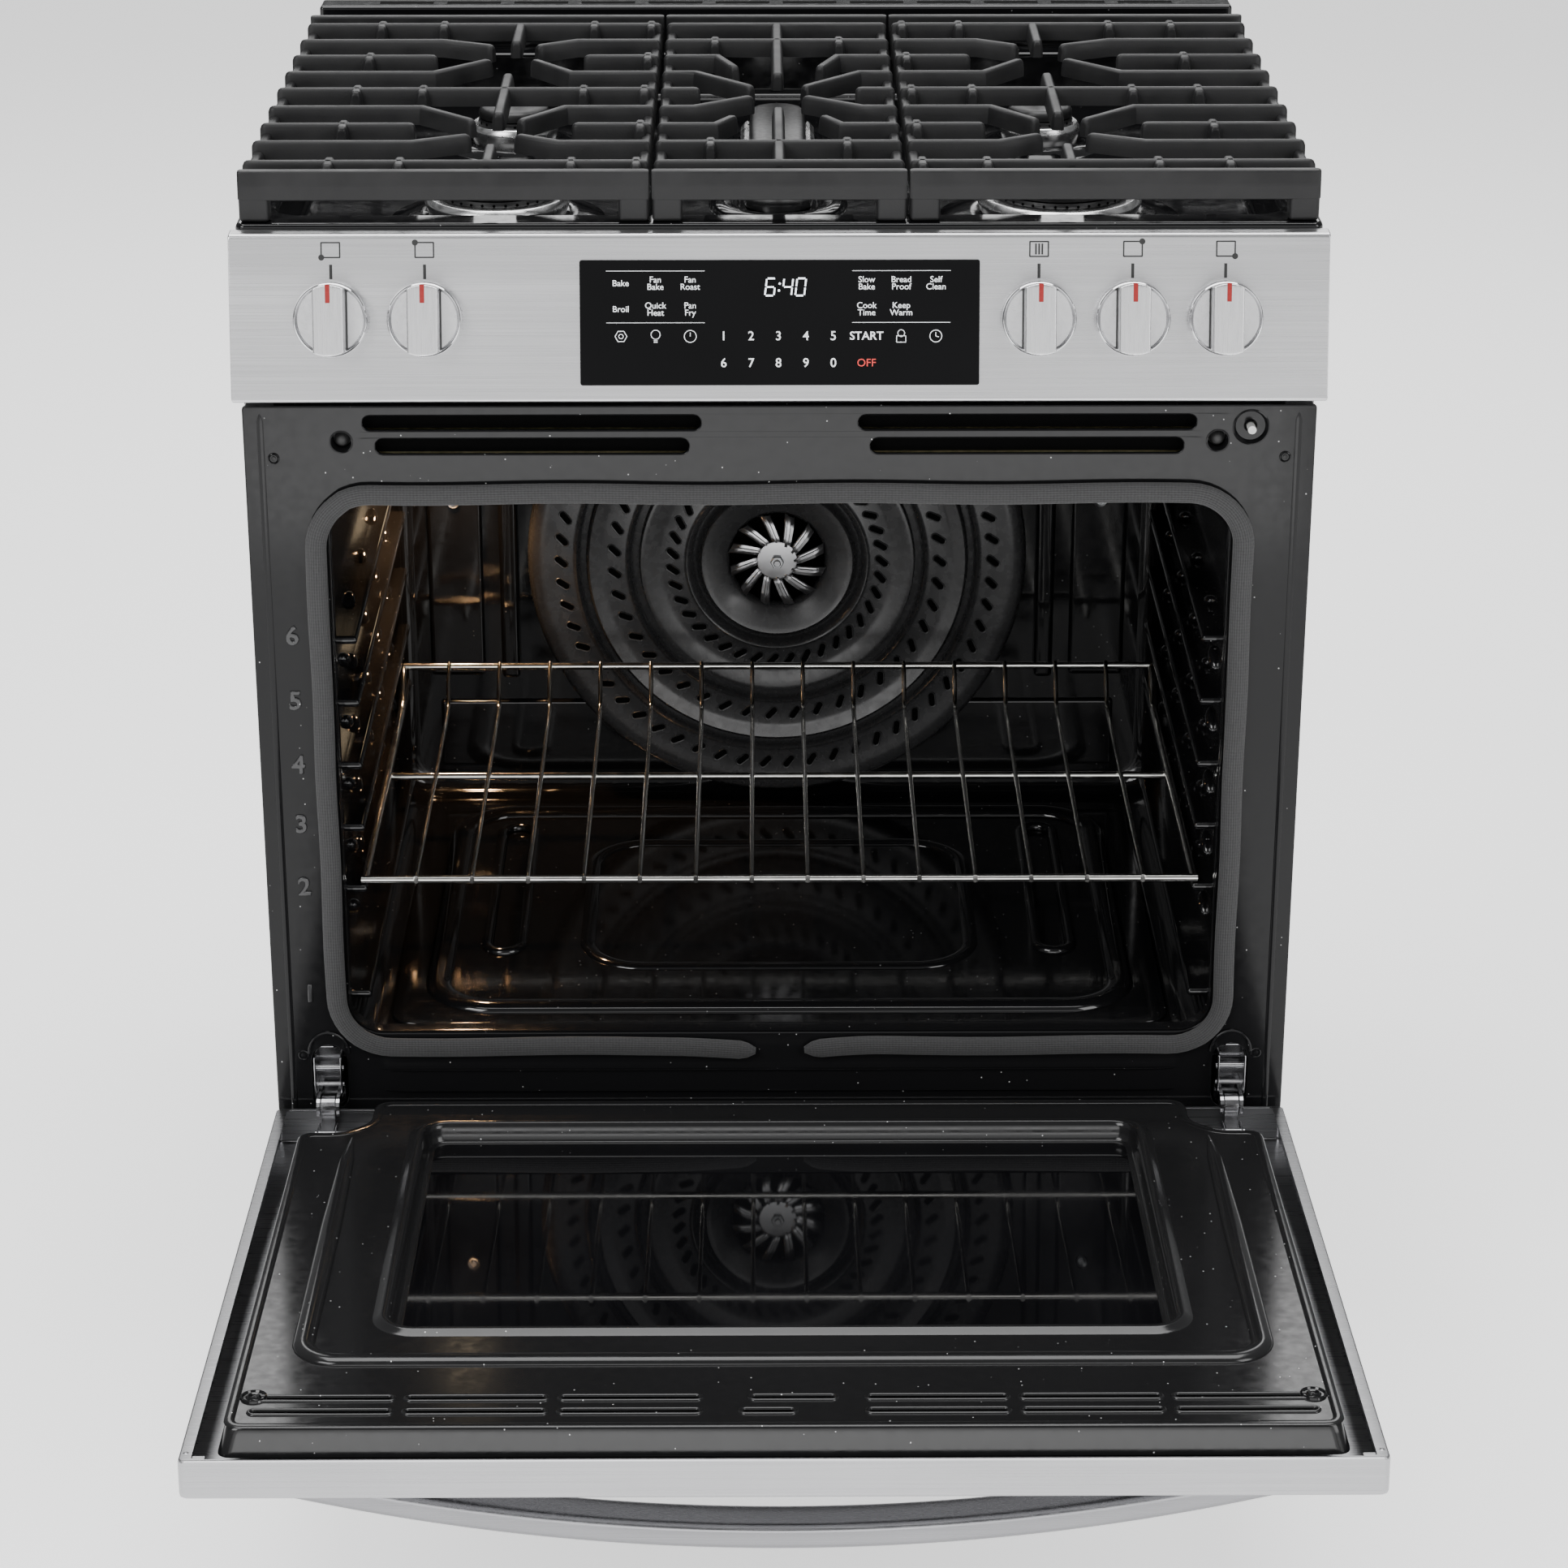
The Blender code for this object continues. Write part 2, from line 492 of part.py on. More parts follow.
def side_fingers(outer, inner, middle):
    """The bars of a side grate. outer and inner are its edges, middle the burners' X."""
    away = 1 if outer < middle else -1
    bars = []
    for row in (0, 4, 8):
        bars.append(bar((outer, GRATE_ROWS[row]), (inner, GRATE_ROWS[row])))
    for row, lean in ((1, 0.021), (3, -0.044), (5, 0.044), (7, -0.021)):
        y = GRATE_ROWS[row]
        bars.append(bar((outer, y), (middle - away * 0.057, y)))
        bars.append(bar((middle - away * 0.060, y), (middle - away * 0.018, y + lean)))
        bars.append(bar((inner, y), (middle + away * 0.048, y)))
        bars.append(bar((middle + away * 0.051, y), (middle + away * 0.018, y + lean)))
    for row in (2, 6):
        bars.append(bar((outer, GRATE_ROWS[row]), (middle - away * 0.058, GRATE_ROWS[row])))
        bars.append(bar((inner, GRATE_ROWS[row]), (middle + away * 0.055, GRATE_ROWS[row])))
    bars.append(bar((middle, GRATE_ROWS[0]), (middle, 0.100)))
    bars.append(bar((middle, 0.190), (middle, 0.323)))
    bars.append(bar((middle, 0.431), (middle, GRATE_ROWS[8])))
    return bars


def centre_fingers(edge):
    bars = [bar((-edge, GRATE_ROWS[row]), (edge, GRATE_ROWS[row])) for row in (0, 1, 7, 8)]
    for side in (-1, 1):
        for row, near, far, tip, lean in ((2, 0.046, 0.032, 0.026, 1), (3, 0.062, 0.019, 0.033, 1),
                                          (5, 0.062, 0.019, -0.050, 1), (6, 0.046, 0.032, -0.040, 1)):
            y = GRATE_ROWS[row]
            bars.append(bar((side * edge, y), (side * (near - 0.003), y)))
            bars.append(bar((side * near, y), (side * far, y + tip * lean)))
        bars.append(bar((side * edge, GRATE_ROWS[4]), (side * 0.058, GRATE_ROWS[4])))
    bars.append(bar((0, GRATE_ROWS[0]), (0, 0.212)))
    bars.append(bar((0, 0.318), (0, GRATE_ROWS[8])))
    return bars


def grates():
    """Each grate is a rim on four corner feet, with fingers that reach over its burners."""
    for name, (left, right) in GRATES.items():
        low = GRATE_TOP - RIM_HEIGHT
        rim = plate(f"grate_{name}", [rounded(left, GRATE_FRONT, right, GRATE_BACK, 0.006, 2),
                                      rounded(*inset((left, GRATE_FRONT, right, GRATE_BACK), 0.009),
                                              0.004, 2)],
                    "XY", low, GRATE_TOP, "cast_iron")
        feet = [box("foot", (x, y, DECK_Z + GAP), (x + 0.020, y + depth, low + 0.004))
                for x in (left + 0.0005, right - 0.0205)
                for y, depth in ((GRATE_FRONT + 0.0005, 0.018), (GRATE_BACK - 0.0145, 0.014))]
        if name == "centre":
            fingers = centre_fingers(right - 0.004)
        else:
            outer, inner = (left, right) if name == "left" else (right, left)
            nudge = 0.004 if outer < inner else -0.004
            middle = math.copysign(0.2045, outer)
            fingers = side_fingers(outer + nudge, inner - nudge, middle)
        unite(rim, *feet, *fingers)


def oven_rack():
    back_z = RACK_Z + 0.029
    edge = RACK_HALF
    rack = rod("oven_rack", (-edge - 0.003, RACK_FRONT, RACK_Z), (edge + 0.003, RACK_FRONT, RACK_Z),
               RACK_RAIL,
               "plated_steel", sides=8)
    wires = [rod("rear_rail", (-edge - 0.003, RACK_BACK, back_z), (edge + 0.003, RACK_BACK, back_z),
                 RACK_RAIL,
                 sides=8),
             rod("brace", (-0.3062, 0.241, RACK_Z - 0.003), (0.3062, 0.241, RACK_Z - 0.003), RACK_RAIL,
                 sides=8)]
    for side in (-1, 1):
        wires.append(tube("side_rail", [(side * edge, RACK_FRONT, RACK_Z),
                                        (side * edge, RACK_BACK - 0.012, RACK_Z),
                                        (side * edge, RACK_BACK, back_z)], RACK_RAIL))
    for n in range(14):
        x = (n - 6.5) * 0.0416
        wires.append(tube("wire", [(x, RACK_FRONT, RACK_Z + 0.0005),
                                   (x, RACK_BACK - 0.014, RACK_Z + 0.0005),
                                   (x, RACK_BACK, back_z)], RACK_WIRE, resolution=0))
    unite(rack, *wires)


def door_skin():
    skin = box("door_outer_skin", (-DOOR_HALF, DOOR_FACE, DOOR_LOW), (DOOR_HALF, DOOR_RIM, DOOR_TOP),
               "brushed_steel", DOOR)
    cut(skin,
        box("skin_hollow", (-DOOR_HALF + SHEET, DOOR_FACE + SHEET, DOOR_LOW + SHEET),
            (DOOR_HALF - SHEET, DOOR_RIM - SHEET, DOOR_TOP - SHEET), parent=DOOR),
        box("skin_mouth", (-0.370, DOOR_RIM - 0.004, DOOR_LOW + SHEET),
            (0.370, DOOR_RIM + 0.01, DOOR_TOP - 0.004),
            parent=DOOR),
        plate("window", [rounded(-0.255, 0.330, 0.255, 0.640, 0.012)], "XZ", DOOR_FACE - 0.01,
              DOOR_FACE + 0.01,
              parent=DOOR))
    box("door_glass_outer", (-0.270, DOOR_FACE + 0.0015, 0.315), (0.270, DOOR_FACE + 0.0055, 0.655),
        "black_glass",
        DOOR)


def door_lining():
    """The inner panel: a pan with a raised U-shaped ridge, a deep window frame and two rows of vent slots."""
    wall = 0.0015
    lining = box("door_inner_panel", (-0.356, -0.0275, 0.230), (0.356, LINING, 0.7545),
                 "black_porcelain", DOOR)
    cut(lining, box("lining_hollow", (-0.356 + wall, -0.04, 0.230 + wall), (0.356 - wall, LINING - wall,
                                                                           0.7545 - wall), parent=DOOR))
    crest = LINING + 0.004
    ridge = [box("ridge", (-0.3185, LINING - 0.001, 0.646), (0.3185, crest, 0.668), parent=DOOR)]
    for side in (-1, 1):
        x = sorted((side * 0.3065, side * 0.3185))
        ridge.append(box("ridge", (x[0], LINING - 0.001, 0.300), (x[1], crest, 0.655), parent=DOOR))
    frame = [rounded(-0.2605, 0.2775, 0.2605, 0.6115, 0.016), rounded(-0.259, 0.279, 0.259, 0.610, 0.0145)]
    ridge.append(plate("window_frame", [frame[0]], "XZ", -0.0205, LINING - 0.0004, parent=DOOR))
    unite(lining, *ridge)
    cuts = [plate("window", [frame[1]], "XZ", -0.04, 0.0, parent=DOOR)]
    for side in (-1, 1):
        x = sorted((side * 0.300, side * 0.40))
        cuts.append(box("hinge_notch", (x[0], -0.04, 0.20), (x[1], 0.01, 0.283), parent=DOOR))
    for z in (0.7115, 0.7305):
        for n in range(7):
            x = (n - 3) * 0.0975
            half = 0.020 if n == 3 else 0.044
            cuts.append(plate("vent", [stadium(x - half, z - 0.003, x + half, z + 0.003, 2)], "XZ",
                              -0.0125, 0.0,
                              parent=DOOR))
    cut(lining, *cuts)
    box("door_glass_inner", (-0.266, -0.0260, 0.272), (0.266, -0.0208, 0.617), "black_glass", DOOR)


def door_handle():
    """A bow: two arcs in plan, the inner one only where it stands clear of the door."""
    face, half_bar = DOOR_FACE - GAP, 0.010
    outer, inner = [], []
    for n in range(17):
        x = HANDLE_HALF * (n / 8 - 1)
        bow = HANDLE_BOW * (1 - (x / HANDLE_HALF) ** 2)
        outer.append((x, face - bow - half_bar))
        if bow > half_bar + 0.001:
            inner.append((x, face - bow + half_bar))
    inner_end = HANDLE_HALF * math.sqrt(1 - half_bar / HANDLE_BOW)
    outline = outer + [(HANDLE_HALF, face), (inner_end, face)] + inner[::-1] + [(-inner_end, face),
                                                                               (-HANDLE_HALF, face)]
    handle = plate("door_handle", [outline], "XY", HANDLE_Z - HANDLE_HEIGHT / 2,
                   HANDLE_Z + HANDLE_HEIGHT / 2,
                   "brushed_steel", DOOR)
    return handle


def hinges():
    _, y, z = PIVOT
    for side, name in ((-1, "left"), (1, "right")):
        x = side * HINGE_X
        receiver = box(f"hinge_receiver_{name}", (x - 0.0105, 0.006, 0.208), (x + 0.0105, 0.050, 0.2615),
                       "galvanised")
        cheeks = []
        for offset in (-1, 1):
            low, high = sorted((x + offset * 0.0060, x + offset * 0.0085))
            cheeks.append(rod("cheek_eye", (low, y, z), (high, y, z), 0.008))
            cheeks.append(box("cheek", (low, y, z - 0.003), (high, 0.010, z + 0.0075)))
        unite(receiver, rod("hinge_pin", (x - 0.0085, y, z), (x + 0.0085, y, z), 0.0034, sides=12), *cheeks)
        arm = rod(f"hinge_arm_{name}", (x - 0.005, y, z), (x + 0.005, y, z), 0.0075, "plated_steel", DOOR)
        unite(arm, box("arm_link", (x - 0.005, -0.040, z - 0.0060), (x + 0.005, y, z + 0.0060),
                       parent=DOOR),
              box("arm_bar", (x - 0.005, -0.041, z - 0.0060), (x + 0.005, -0.029, 0.330), parent=DOOR))
        cut(arm, rod("pin_hole", (x - 0.02, y, z), (x + 0.02, y, z), 0.0039, parent=DOOR, sides=12))


def drawer():
    outline = [(-0.045, 0.036), (-0.022, 0.036), (-0.022, 0.183), (-0.034, 0.183), (-0.045, 0.172)]
    front = plate("drawer_front", [outline], "YZ", -BODY_HALF, BODY_HALF, "brushed_steel")
    hollow = [(-0.0438, 0.0372), (-0.01, 0.0372), (-0.01, 0.1818), (-0.0335, 0.1818), (-0.0438, 0.1715)]
    cut(front, plate("drawer_front_hollow", [hollow], "YZ", -BODY_HALF + SHEET, BODY_HALF - SHEET))
    tray = box("drawer_box", (-0.335, -0.0217, 0.0450), (0.335, 0.520, 0.165), "galvanised")
    cut(tray, box("drawer_hollow", (-0.3338, -0.0205, 0.0462), (0.3338, 0.5188, 0.18)))


for build in (body_shell, base_pan, levelling_legs, front_frame, oven_liner, oven_inside, fan, door_gasket,
              control_panel, knobs, gas_manifold, cooktop, burners, grates, oven_rack, door_skin,
              door_lining,
              door_handle, hinges, drawer):
    build()
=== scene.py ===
"""Looks for the gas range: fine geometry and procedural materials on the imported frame. Metres, +Z up."""
import json
import math

import bmesh
import bpy
from mathutils import Matrix, Vector


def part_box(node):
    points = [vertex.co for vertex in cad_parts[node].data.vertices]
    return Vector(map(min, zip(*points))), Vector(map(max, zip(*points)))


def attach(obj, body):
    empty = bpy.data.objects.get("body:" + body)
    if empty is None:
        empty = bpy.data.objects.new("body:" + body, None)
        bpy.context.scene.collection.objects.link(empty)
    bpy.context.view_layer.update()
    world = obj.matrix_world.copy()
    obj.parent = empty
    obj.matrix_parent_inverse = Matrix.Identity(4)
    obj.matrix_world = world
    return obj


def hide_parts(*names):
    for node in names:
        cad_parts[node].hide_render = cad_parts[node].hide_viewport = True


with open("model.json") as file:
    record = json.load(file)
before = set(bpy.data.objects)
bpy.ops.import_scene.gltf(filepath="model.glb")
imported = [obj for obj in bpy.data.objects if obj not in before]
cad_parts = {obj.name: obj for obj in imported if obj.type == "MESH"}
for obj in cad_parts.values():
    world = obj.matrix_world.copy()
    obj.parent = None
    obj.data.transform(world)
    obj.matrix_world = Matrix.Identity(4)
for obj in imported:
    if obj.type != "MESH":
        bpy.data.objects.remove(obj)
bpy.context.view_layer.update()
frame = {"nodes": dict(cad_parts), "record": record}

# ---------------------------------------------------------------- driving places, read from the frame
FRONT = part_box("front_frame")[0].y  # the oven's front plane
GRATE_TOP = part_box("grate_left")[1].z
DECK_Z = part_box("cooktop")[1].z
JOINTS = {joint["name"]: joint for joint in frame["record"]["behaviour"]["joints"]}

RANGE = Matrix.Translation((0, FRONT, 0))  # from the range's own places to the world
PIVOT = Vector(JOINTS["door_hinge"]["pos_m"]) - Vector((0, FRONT, 0))
DOOR_OPEN = math.radians(JOINTS["door_hinge"]["range_deg"][1])
DOOR = RANGE @ Matrix.Translation(PIVOT) @ Matrix.Rotation(DOOR_OPEN, 4, "X") @ Matrix.Translation(-PIVOT)

PANEL_LOW, PANEL_TOP = (-0.028, 0.772), (-0.001, 0.8855)
PANEL_TILT = math.atan2(PANEL_TOP[0] - PANEL_LOW[0], PANEL_TOP[1] - PANEL_LOW[1])
FACE = RANGE @ Matrix.Translation((0, *PANEL_LOW)) @ Matrix.Rotation(-PANEL_TILT, 4, "X")
KNOB_X = {"left_front": -0.3102, "left_rear": -0.2454, "centre": 0.1793, "right_rear": 0.2442,
          "right_front": 0.3085}
KNOB_V = 0.0583

CAVITY = (-0.3195, 0.268, 0.3195, 0.6935)
CAVITY_BACK = 0.4805
MOUTH = (-0.321, 0.274, 0.321, 0.69)
FRONT_AREA = (-0.378, 0.187, 0.378, 0.7615)
HINGE_X, BUMPER_X, BUMPER_Z = 0.338, 0.309, 0.735
FAN_Z = JOINTS["fan_spin"]["pos_m"][2]
RACK_LEVELS = (0.298, 0.3846, 0.434, 0.4835, 0.533, 0.582)
RACK_Z = RACK_LEVELS[1]
BASIN_Z = 0.8545
PORT_Z = 0.8688
STUB, THICK_BAR = 0.013, 0.009
BURNER_LIFT = 0.0055  # the burners stand this much prouder than their plain CAD
BURNER_X = 0.2045
BURNERS = {"left_front": (-BURNER_X, 0.16, 0.053), "left_rear": (-BURNER_X, 0.383, 0.034),
           "right_front": (BURNER_X, 0.16, 0.06), "right_rear": (BURNER_X, 0.383, 0.031)}
OVAL_Y, OVAL_LENGTH, OVAL_WIDTH = 0.285, 0.118, 0.0285
GRATES = {"left": (-0.375, -0.0905), "centre": (-0.0885, 0.0885), "right": (0.0905, 0.375)}
GRATE_FRONT, GRATE_BACK = 0.016, 0.533
ROWS = (0.0496, 0.107, 0.16, 0.214, 0.272, 0.327, 0.383, 0.439, 0.498)
PRINT_Y = -0.0021  # just proud of the control glass
PRINT_THICK = 0.0001
PRINT_FACE = FACE @ Matrix.Translation((0, PRINT_Y, 0))
PRINT_X = 0.0012  # the middle of the print
TOP_ROW, LOW_ROW, SYMBOL_ROW, LAST_ROW = 0.0826, 0.0648, 0.0462, 0.0276
LEFT_COLUMNS = [PRINT_X - 0.1112 + n * 0.024 for n in range(3)]
RIGHT_COLUMNS = [PRINT_X + 0.0589 + n * 0.024 for n in range(3)]
SIDES = (-1, 1)
UP, BACK = Vector((0, 0, 1)), Vector((0, 1, 0))


# ---------------------------------------------------------------- materials
class Paint:
    """A Principled material and short ways to add procedural nodes to it."""

    def __init__(self, name, colour, roughness, metallic=0.0, **constants):
        self.material = bpy.data.materials.new(name)
        self.material.use_nodes = True
        self.tree = self.material.node_tree
        self.shader = self.tree.nodes["Principled BSDF"]
        self.shader.inputs["Base Color"].default_value = (*colour, 1)
        self.shader.inputs["Roughness"].default_value = roughness
        self.shader.inputs["Metallic"].default_value = metallic
        for socket, value in constants.items():
            self.shader.inputs[socket.replace("_", " ")].default_value = value
        self.coordinates = self.node("ShaderNodeTexCoord")

    def node(self, kind, **inputs):
        made = self.tree.nodes.new(kind)
        for socket, value in inputs.items():
            made.inputs[socket.replace("_", " ")].default_value = value
        return made

    def link(self, source, target):
        self.tree.links.new(source, target)

    def stretched(self, scale=(1, 1, 1)):
        """Texture coordinates scaled along each axis."""
        mapping = self.node("ShaderNodeMapping", Scale=scale)
        self.link(self.coordinates.outputs["Object"], mapping.inputs["Vector"])
        return mapping.outputs["Vector"]

    def noise(self, size, detail=3.0, scale=(1, 1, 1)):
        texture = self.node("ShaderNodeTexNoise", Scale=size, Detail=detail)
        self.link(self.stretched(scale), texture.inputs["Vector"])
        return texture.outputs["Fac"]

    def maths(self, operation, *values):
        made = self.node("ShaderNodeMath")
        made.operation = operation
        for socket, value in zip(made.inputs, values):
            if isinstance(value, float):
                socket.default_value = value
            else:
                self.link(value, socket)
        return made.outputs[0]

    def spread(self, value, low, high, from_low=0.3, from_high=0.7):
        """A value carried from one span to another."""
        span = self.node("ShaderNodeMapRange")
        for socket, number in zip(("From Min", "From Max", "To Min", "To Max"),
                                  (from_low, from_high, low, high)):
            span.inputs[socket].default_value = number
        self.link(value, span.inputs["Value"])
        return span.outputs["Result"]

    def mix(self, factor, low, high):
        blend = self.tree.nodes.new("ShaderNodeMix")
        blend.data_type = "RGBA"
        blend.inputs["A"].default_value = (*low, 1)
        blend.inputs["B"].default_value = (*high, 1)
        self.link(factor, blend.inputs["Factor"])
        self.link(blend.outputs["Result"], self.shader.inputs["Base Color"])
        return blend.outputs["Result"]

    def rough(self, value, low, high):
        self.link(self.spread(value, low, high), self.shader.inputs["Roughness"])

    def bump(self, value, strength, depth):
        bump = self.node("ShaderNodeBump", Strength=strength, Distance=depth)
        self.link(value, bump.inputs["Height"])
        self.link(bump.outputs["Normal"], self.shader.inputs["Normal"])


def shade(colour, by):
    return tuple(min(1, c * by) for c in colour)


def brushed(name, colour, scale, roughness=(0.24, 0.36), anisotropy=0.35):
    """Sheet steel with brushing along the axis whose scale is the smallest."""
    paint = Paint(name, colour, 0.3, 1.0, Anisotropic=anisotropy)
    grain = paint.noise(1.0, 4.0, scale)
    cloud = paint.noise(4.0, 2.0, (3, 3, 3))
    both = paint.maths("ADD", grain, paint.spread(cloud, -0.1, 0.1))
    paint.mix(paint.spread(both, 0, 1, 0.25, 0.75), shade(colour, 0.91), shade(colour, 1.05))
    paint.rough(grain, *roughness)
    paint.bump(grain, 0.07, 0.00003)
    return paint.material


def porcelain(name, colour=(0.007, 0.007, 0.0075), roughness=(0.09, 0.17), speck=0.55, gloss=0.42):
    """Black enamel with an orange-peel surface and fine pale specks."""
    paint = Paint(name, colour, 0.12, 0.0, Specular_IOR_Level=gloss)
    specks = paint.node("ShaderNodeTexVoronoi", Scale=150.0)
    paint.link(paint.stretched(), specks.inputs["Vector"])
    near = paint.spread(specks.outputs["Distance"], 1, 0, 0.05, 0.085)
    chosen = paint.node("ShaderNodeSeparateColor")
    paint.link(specks.outputs["Color"], chosen.inputs[0])
    few = paint.spread(chosen.outputs[0], 0, 1, 0.66, 0.72)
    paint.mix(paint.maths("MULTIPLY", near, few), colour, (speck, speck, speck))
    peel = paint.noise(130.0, 2.0)
    paint.rough(peel, *roughness)
    paint.bump(peel, 0.05, 0.0004)
    return paint.material


def cast_iron():
    paint = Paint("cast_iron", (0.014, 0.014, 0.0145), 0.5, 0.0, Specular_IOR_Level=0.24)
    grain = paint.noise(900.0, 4.0)
    patches = paint.noise(35.0)
    paint.mix(paint.spread(patches, 0, 1), (0.011, 0.011, 0.0115), (0.018, 0.018, 0.0185))
    paint.rough(patches, 0.38, 0.54)
    paint.bump(grain, 0.35, 0.0003)
    return paint.material


def metal(name, colour, roughness, size=90.0, vary=0.12):
    paint = Paint(name, colour, sum(roughness) / 2, 1.0)
    cloud = paint.noise(size)
    paint.mix(paint.spread(cloud, 0, 1), shade(colour, 1 - vary), colour)
    paint.rough(cloud, *roughness)
    paint.bump(cloud, 0.04, 0.0002)
    return paint.material


def plain(name, colour, roughness, size=300.0, vary=0.15, depth=0.0001, **constants):
    """A painted, moulded or printed surface: slight mottling and a fine tooth."""
    paint = Paint(name, colour, sum(roughness) / 2, 0.0, **constants)
    tooth = paint.noise(size)
    paint.mix(paint.spread(tooth, 0, 1), shade(colour, 1 - vary), colour)
    paint.rough(tooth, *roughness)
    paint.bump(tooth, 0.15, depth)
    return paint.material


def braid():
    """Glass-fibre braid: u runs along the seal and v round it, so the ribs follow v and the weave u."""
    paint = Paint("gasket_braid", (0.023, 0.023, 0.024), 0.85, 0.0, Sheen_Weight=0.15)
    apart = paint.node("ShaderNodeSeparateXYZ")
    paint.link(paint.coordinates.outputs["UV"], apart.inputs["Vector"])
    ribs, weave = (paint.maths("SINE", paint.maths("MULTIPLY", apart.outputs[output], math.tau * turns))
                   for output, turns in (("Y", 26), ("X", 420)))
    height = paint.spread(ribs, 0, 1, -1, 1)
    for extra in (paint.spread(weave, 0, 0.35, -1, 1), paint.spread(paint.noise(700.0), 0, 0.45)):
        height = paint.maths("ADD", height, extra)
    # The colour follows the weave's height: the valleys are painted darker as shade and the crests lighter
    # as a painted highlight, with a random tone from the fine noise.
    paint.mix(paint.spread(height, 0, 1, 0.1, 1.6), (0.013, 0.013, 0.0135), (0.046, 0.046, 0.047))
    paint.bump(height, 0.45, 0.0005)
    return paint.material


def glass(name, colour, roughness, gloss):
    paint = Paint(name, colour, roughness, 0.0, Specular_IOR_Level=gloss)
    haze = paint.noise(9.0, 2.0)
    paint.rough(haze, roughness * 0.7, roughness * 1.8)
    paint.mix(paint.spread(haze, 0, 1), colour, shade(colour, 1.6))
    return paint.material


def lit(name, colour, strength):
    paint = Paint(name, colour, 0.4)
    paint.shader.inputs["Emission Strength"].default_value = strength
    glow = paint.noise(400.0, 2.0)
    tone = paint.mix(paint.spread(glow, 0, 1), shade(colour, 0.88), colour)
    paint.link(tone, paint.shader.inputs["Emission Color"])
    return paint.material


MAT = {
    "panel_steel": brushed("panel_steel", (0.56, 0.56, 0.57), (6, 900, 1400)),
    "door_steel": brushed("door_steel", (0.4, 0.4, 0.41), (6, 900, 1400)),
    "handle_steel": brushed("handle_steel", (0.25, 0.25, 0.26), (5, 1200, 1200), (0.2, 0.32), 0.5),
    "knob_steel": brushed("knob_steel", (0.66, 0.66, 0.67), (1500, 900, 40), (0.22, 0.34)),
    "chrome": metal("bright_chrome", (0.8, 0.8, 0.81), (0.05, 0.11)),
    "silver": metal("silver_disc", (0.72, 0.72, 0.73), (0.25, 0.34), 200.0),
    "wire": metal("plated_wire", (0.78, 0.77, 0.74), (0.1, 0.22), 60.0),
    "aluminium": metal("polished_aluminium", (0.9, 0.9, 0.9), (0.2, 0.32), 50.0),
    "impeller": metal("impeller_metal", (0.5, 0.5, 0.51), (0.28, 0.4), 80.0),
    "hinge_plate": metal("hinge_plate", (0.4, 0.4, 0.41), (0.12, 0.24)),
    "zinc": metal("zinc_plate", (0.56, 0.57, 0.58), (0.28, 0.46), 45.0, 0.25),
    "burner_steel": metal("burner_steel", (0.13, 0.12, 0.11), (0.36, 0.52), 60.0, 0.35),
    "brass": metal("brass", (0.62, 0.46, 0.22), (0.25, 0.4)),
    "galvanised": metal("galvanised_sheet", (0.48, 0.49, 0.5), (0.38, 0.55), 30.0, 0.3),
    "frame_enamel": porcelain("frame_enamel", gloss=0.22),
    # The raised level numbers are the frame's enamel, made lighter and glossier here as a painted highlight
    # so they stand out.
    "number_enamel_painted_highlight": porcelain("number_enamel_painted_highlight", (0.03, 0.03, 0.031), gloss=0.5),
    "oven_enamel": porcelain("oven_enamel", (0.005, 0.005, 0.0055), (0.06, 0.11), 0.25, 0.55),
    "cover_enamel": porcelain("cover_enamel", (0.03, 0.03, 0.031), (0.22, 0.32), 0.15, 0.6),
    "door_enamel": porcelain("door_enamel", (0.01, 0.01, 0.0105), (0.12, 0.2), 0.65, 0.44),
    "cooktop_enamel": porcelain("cooktop_enamel", (0.004, 0.004, 0.0045), (0.06, 0.13), 0.18, 0.45),
    "cast_iron": cast_iron(),
    "cap": plain("burner_cap_enamel", (0.01, 0.01, 0.0105), (0.34, 0.46), 250.0),
    "port": plain("port_shadow", (0.002, 0.002, 0.002), (0.8, 0.95), Specular_IOR_Level=0.05),
    "gasket": braid(),
    "control_glass": glass("control_glass", (0.0015, 0.0015, 0.0018), 0.05, 0.1),
    "window_glass": glass("window_glass", (0.003, 0.003, 0.0035), 0.022, 0.75),
    "side_paint": plain("side_paint", (0.085, 0.085, 0.088), (0.38, 0.5), 500.0),
    "rubber": plain("bumper_rubber", (0.03, 0.03, 0.03), (0.6, 0.8)),
    # Black print, also used for the painted shade in the knob gaps.
    "dark_print_and_gap_shade": plain("black_print_and_gap_shade", (0.012, 0.012, 0.012), (0.4, 0.5)),
    "red": plain("red_pointer", (0.28, 0.006, 0.005), (0.35, 0.45), 400.0),
    # Painted glow: the white and red print on the control glass give off a little light, though they are
    # only print.
    "print_white_glow": lit("white_print_painted_glow", (0.8, 0.82, 0.84), 0.35),
    "print_red_glow": lit("red_print_painted_glow", (0.7, 0.05, 0.04), 0.35),
    "digits": lit("clock_digits", (0.9, 0.94, 1.0), 1.6),
    "wool": plain("fibreglass_wool", (0.7, 0.6, 0.32), (0.9, 1.0), 160.0, 0.4, 0.002),
    "lamp": lit("lamp_glass", (1.0, 0.78, 0.5), 2.0),
    "switch": plain("switch_plastic", (0.62, 0.62, 0.6), (0.35, 0.5)),
}


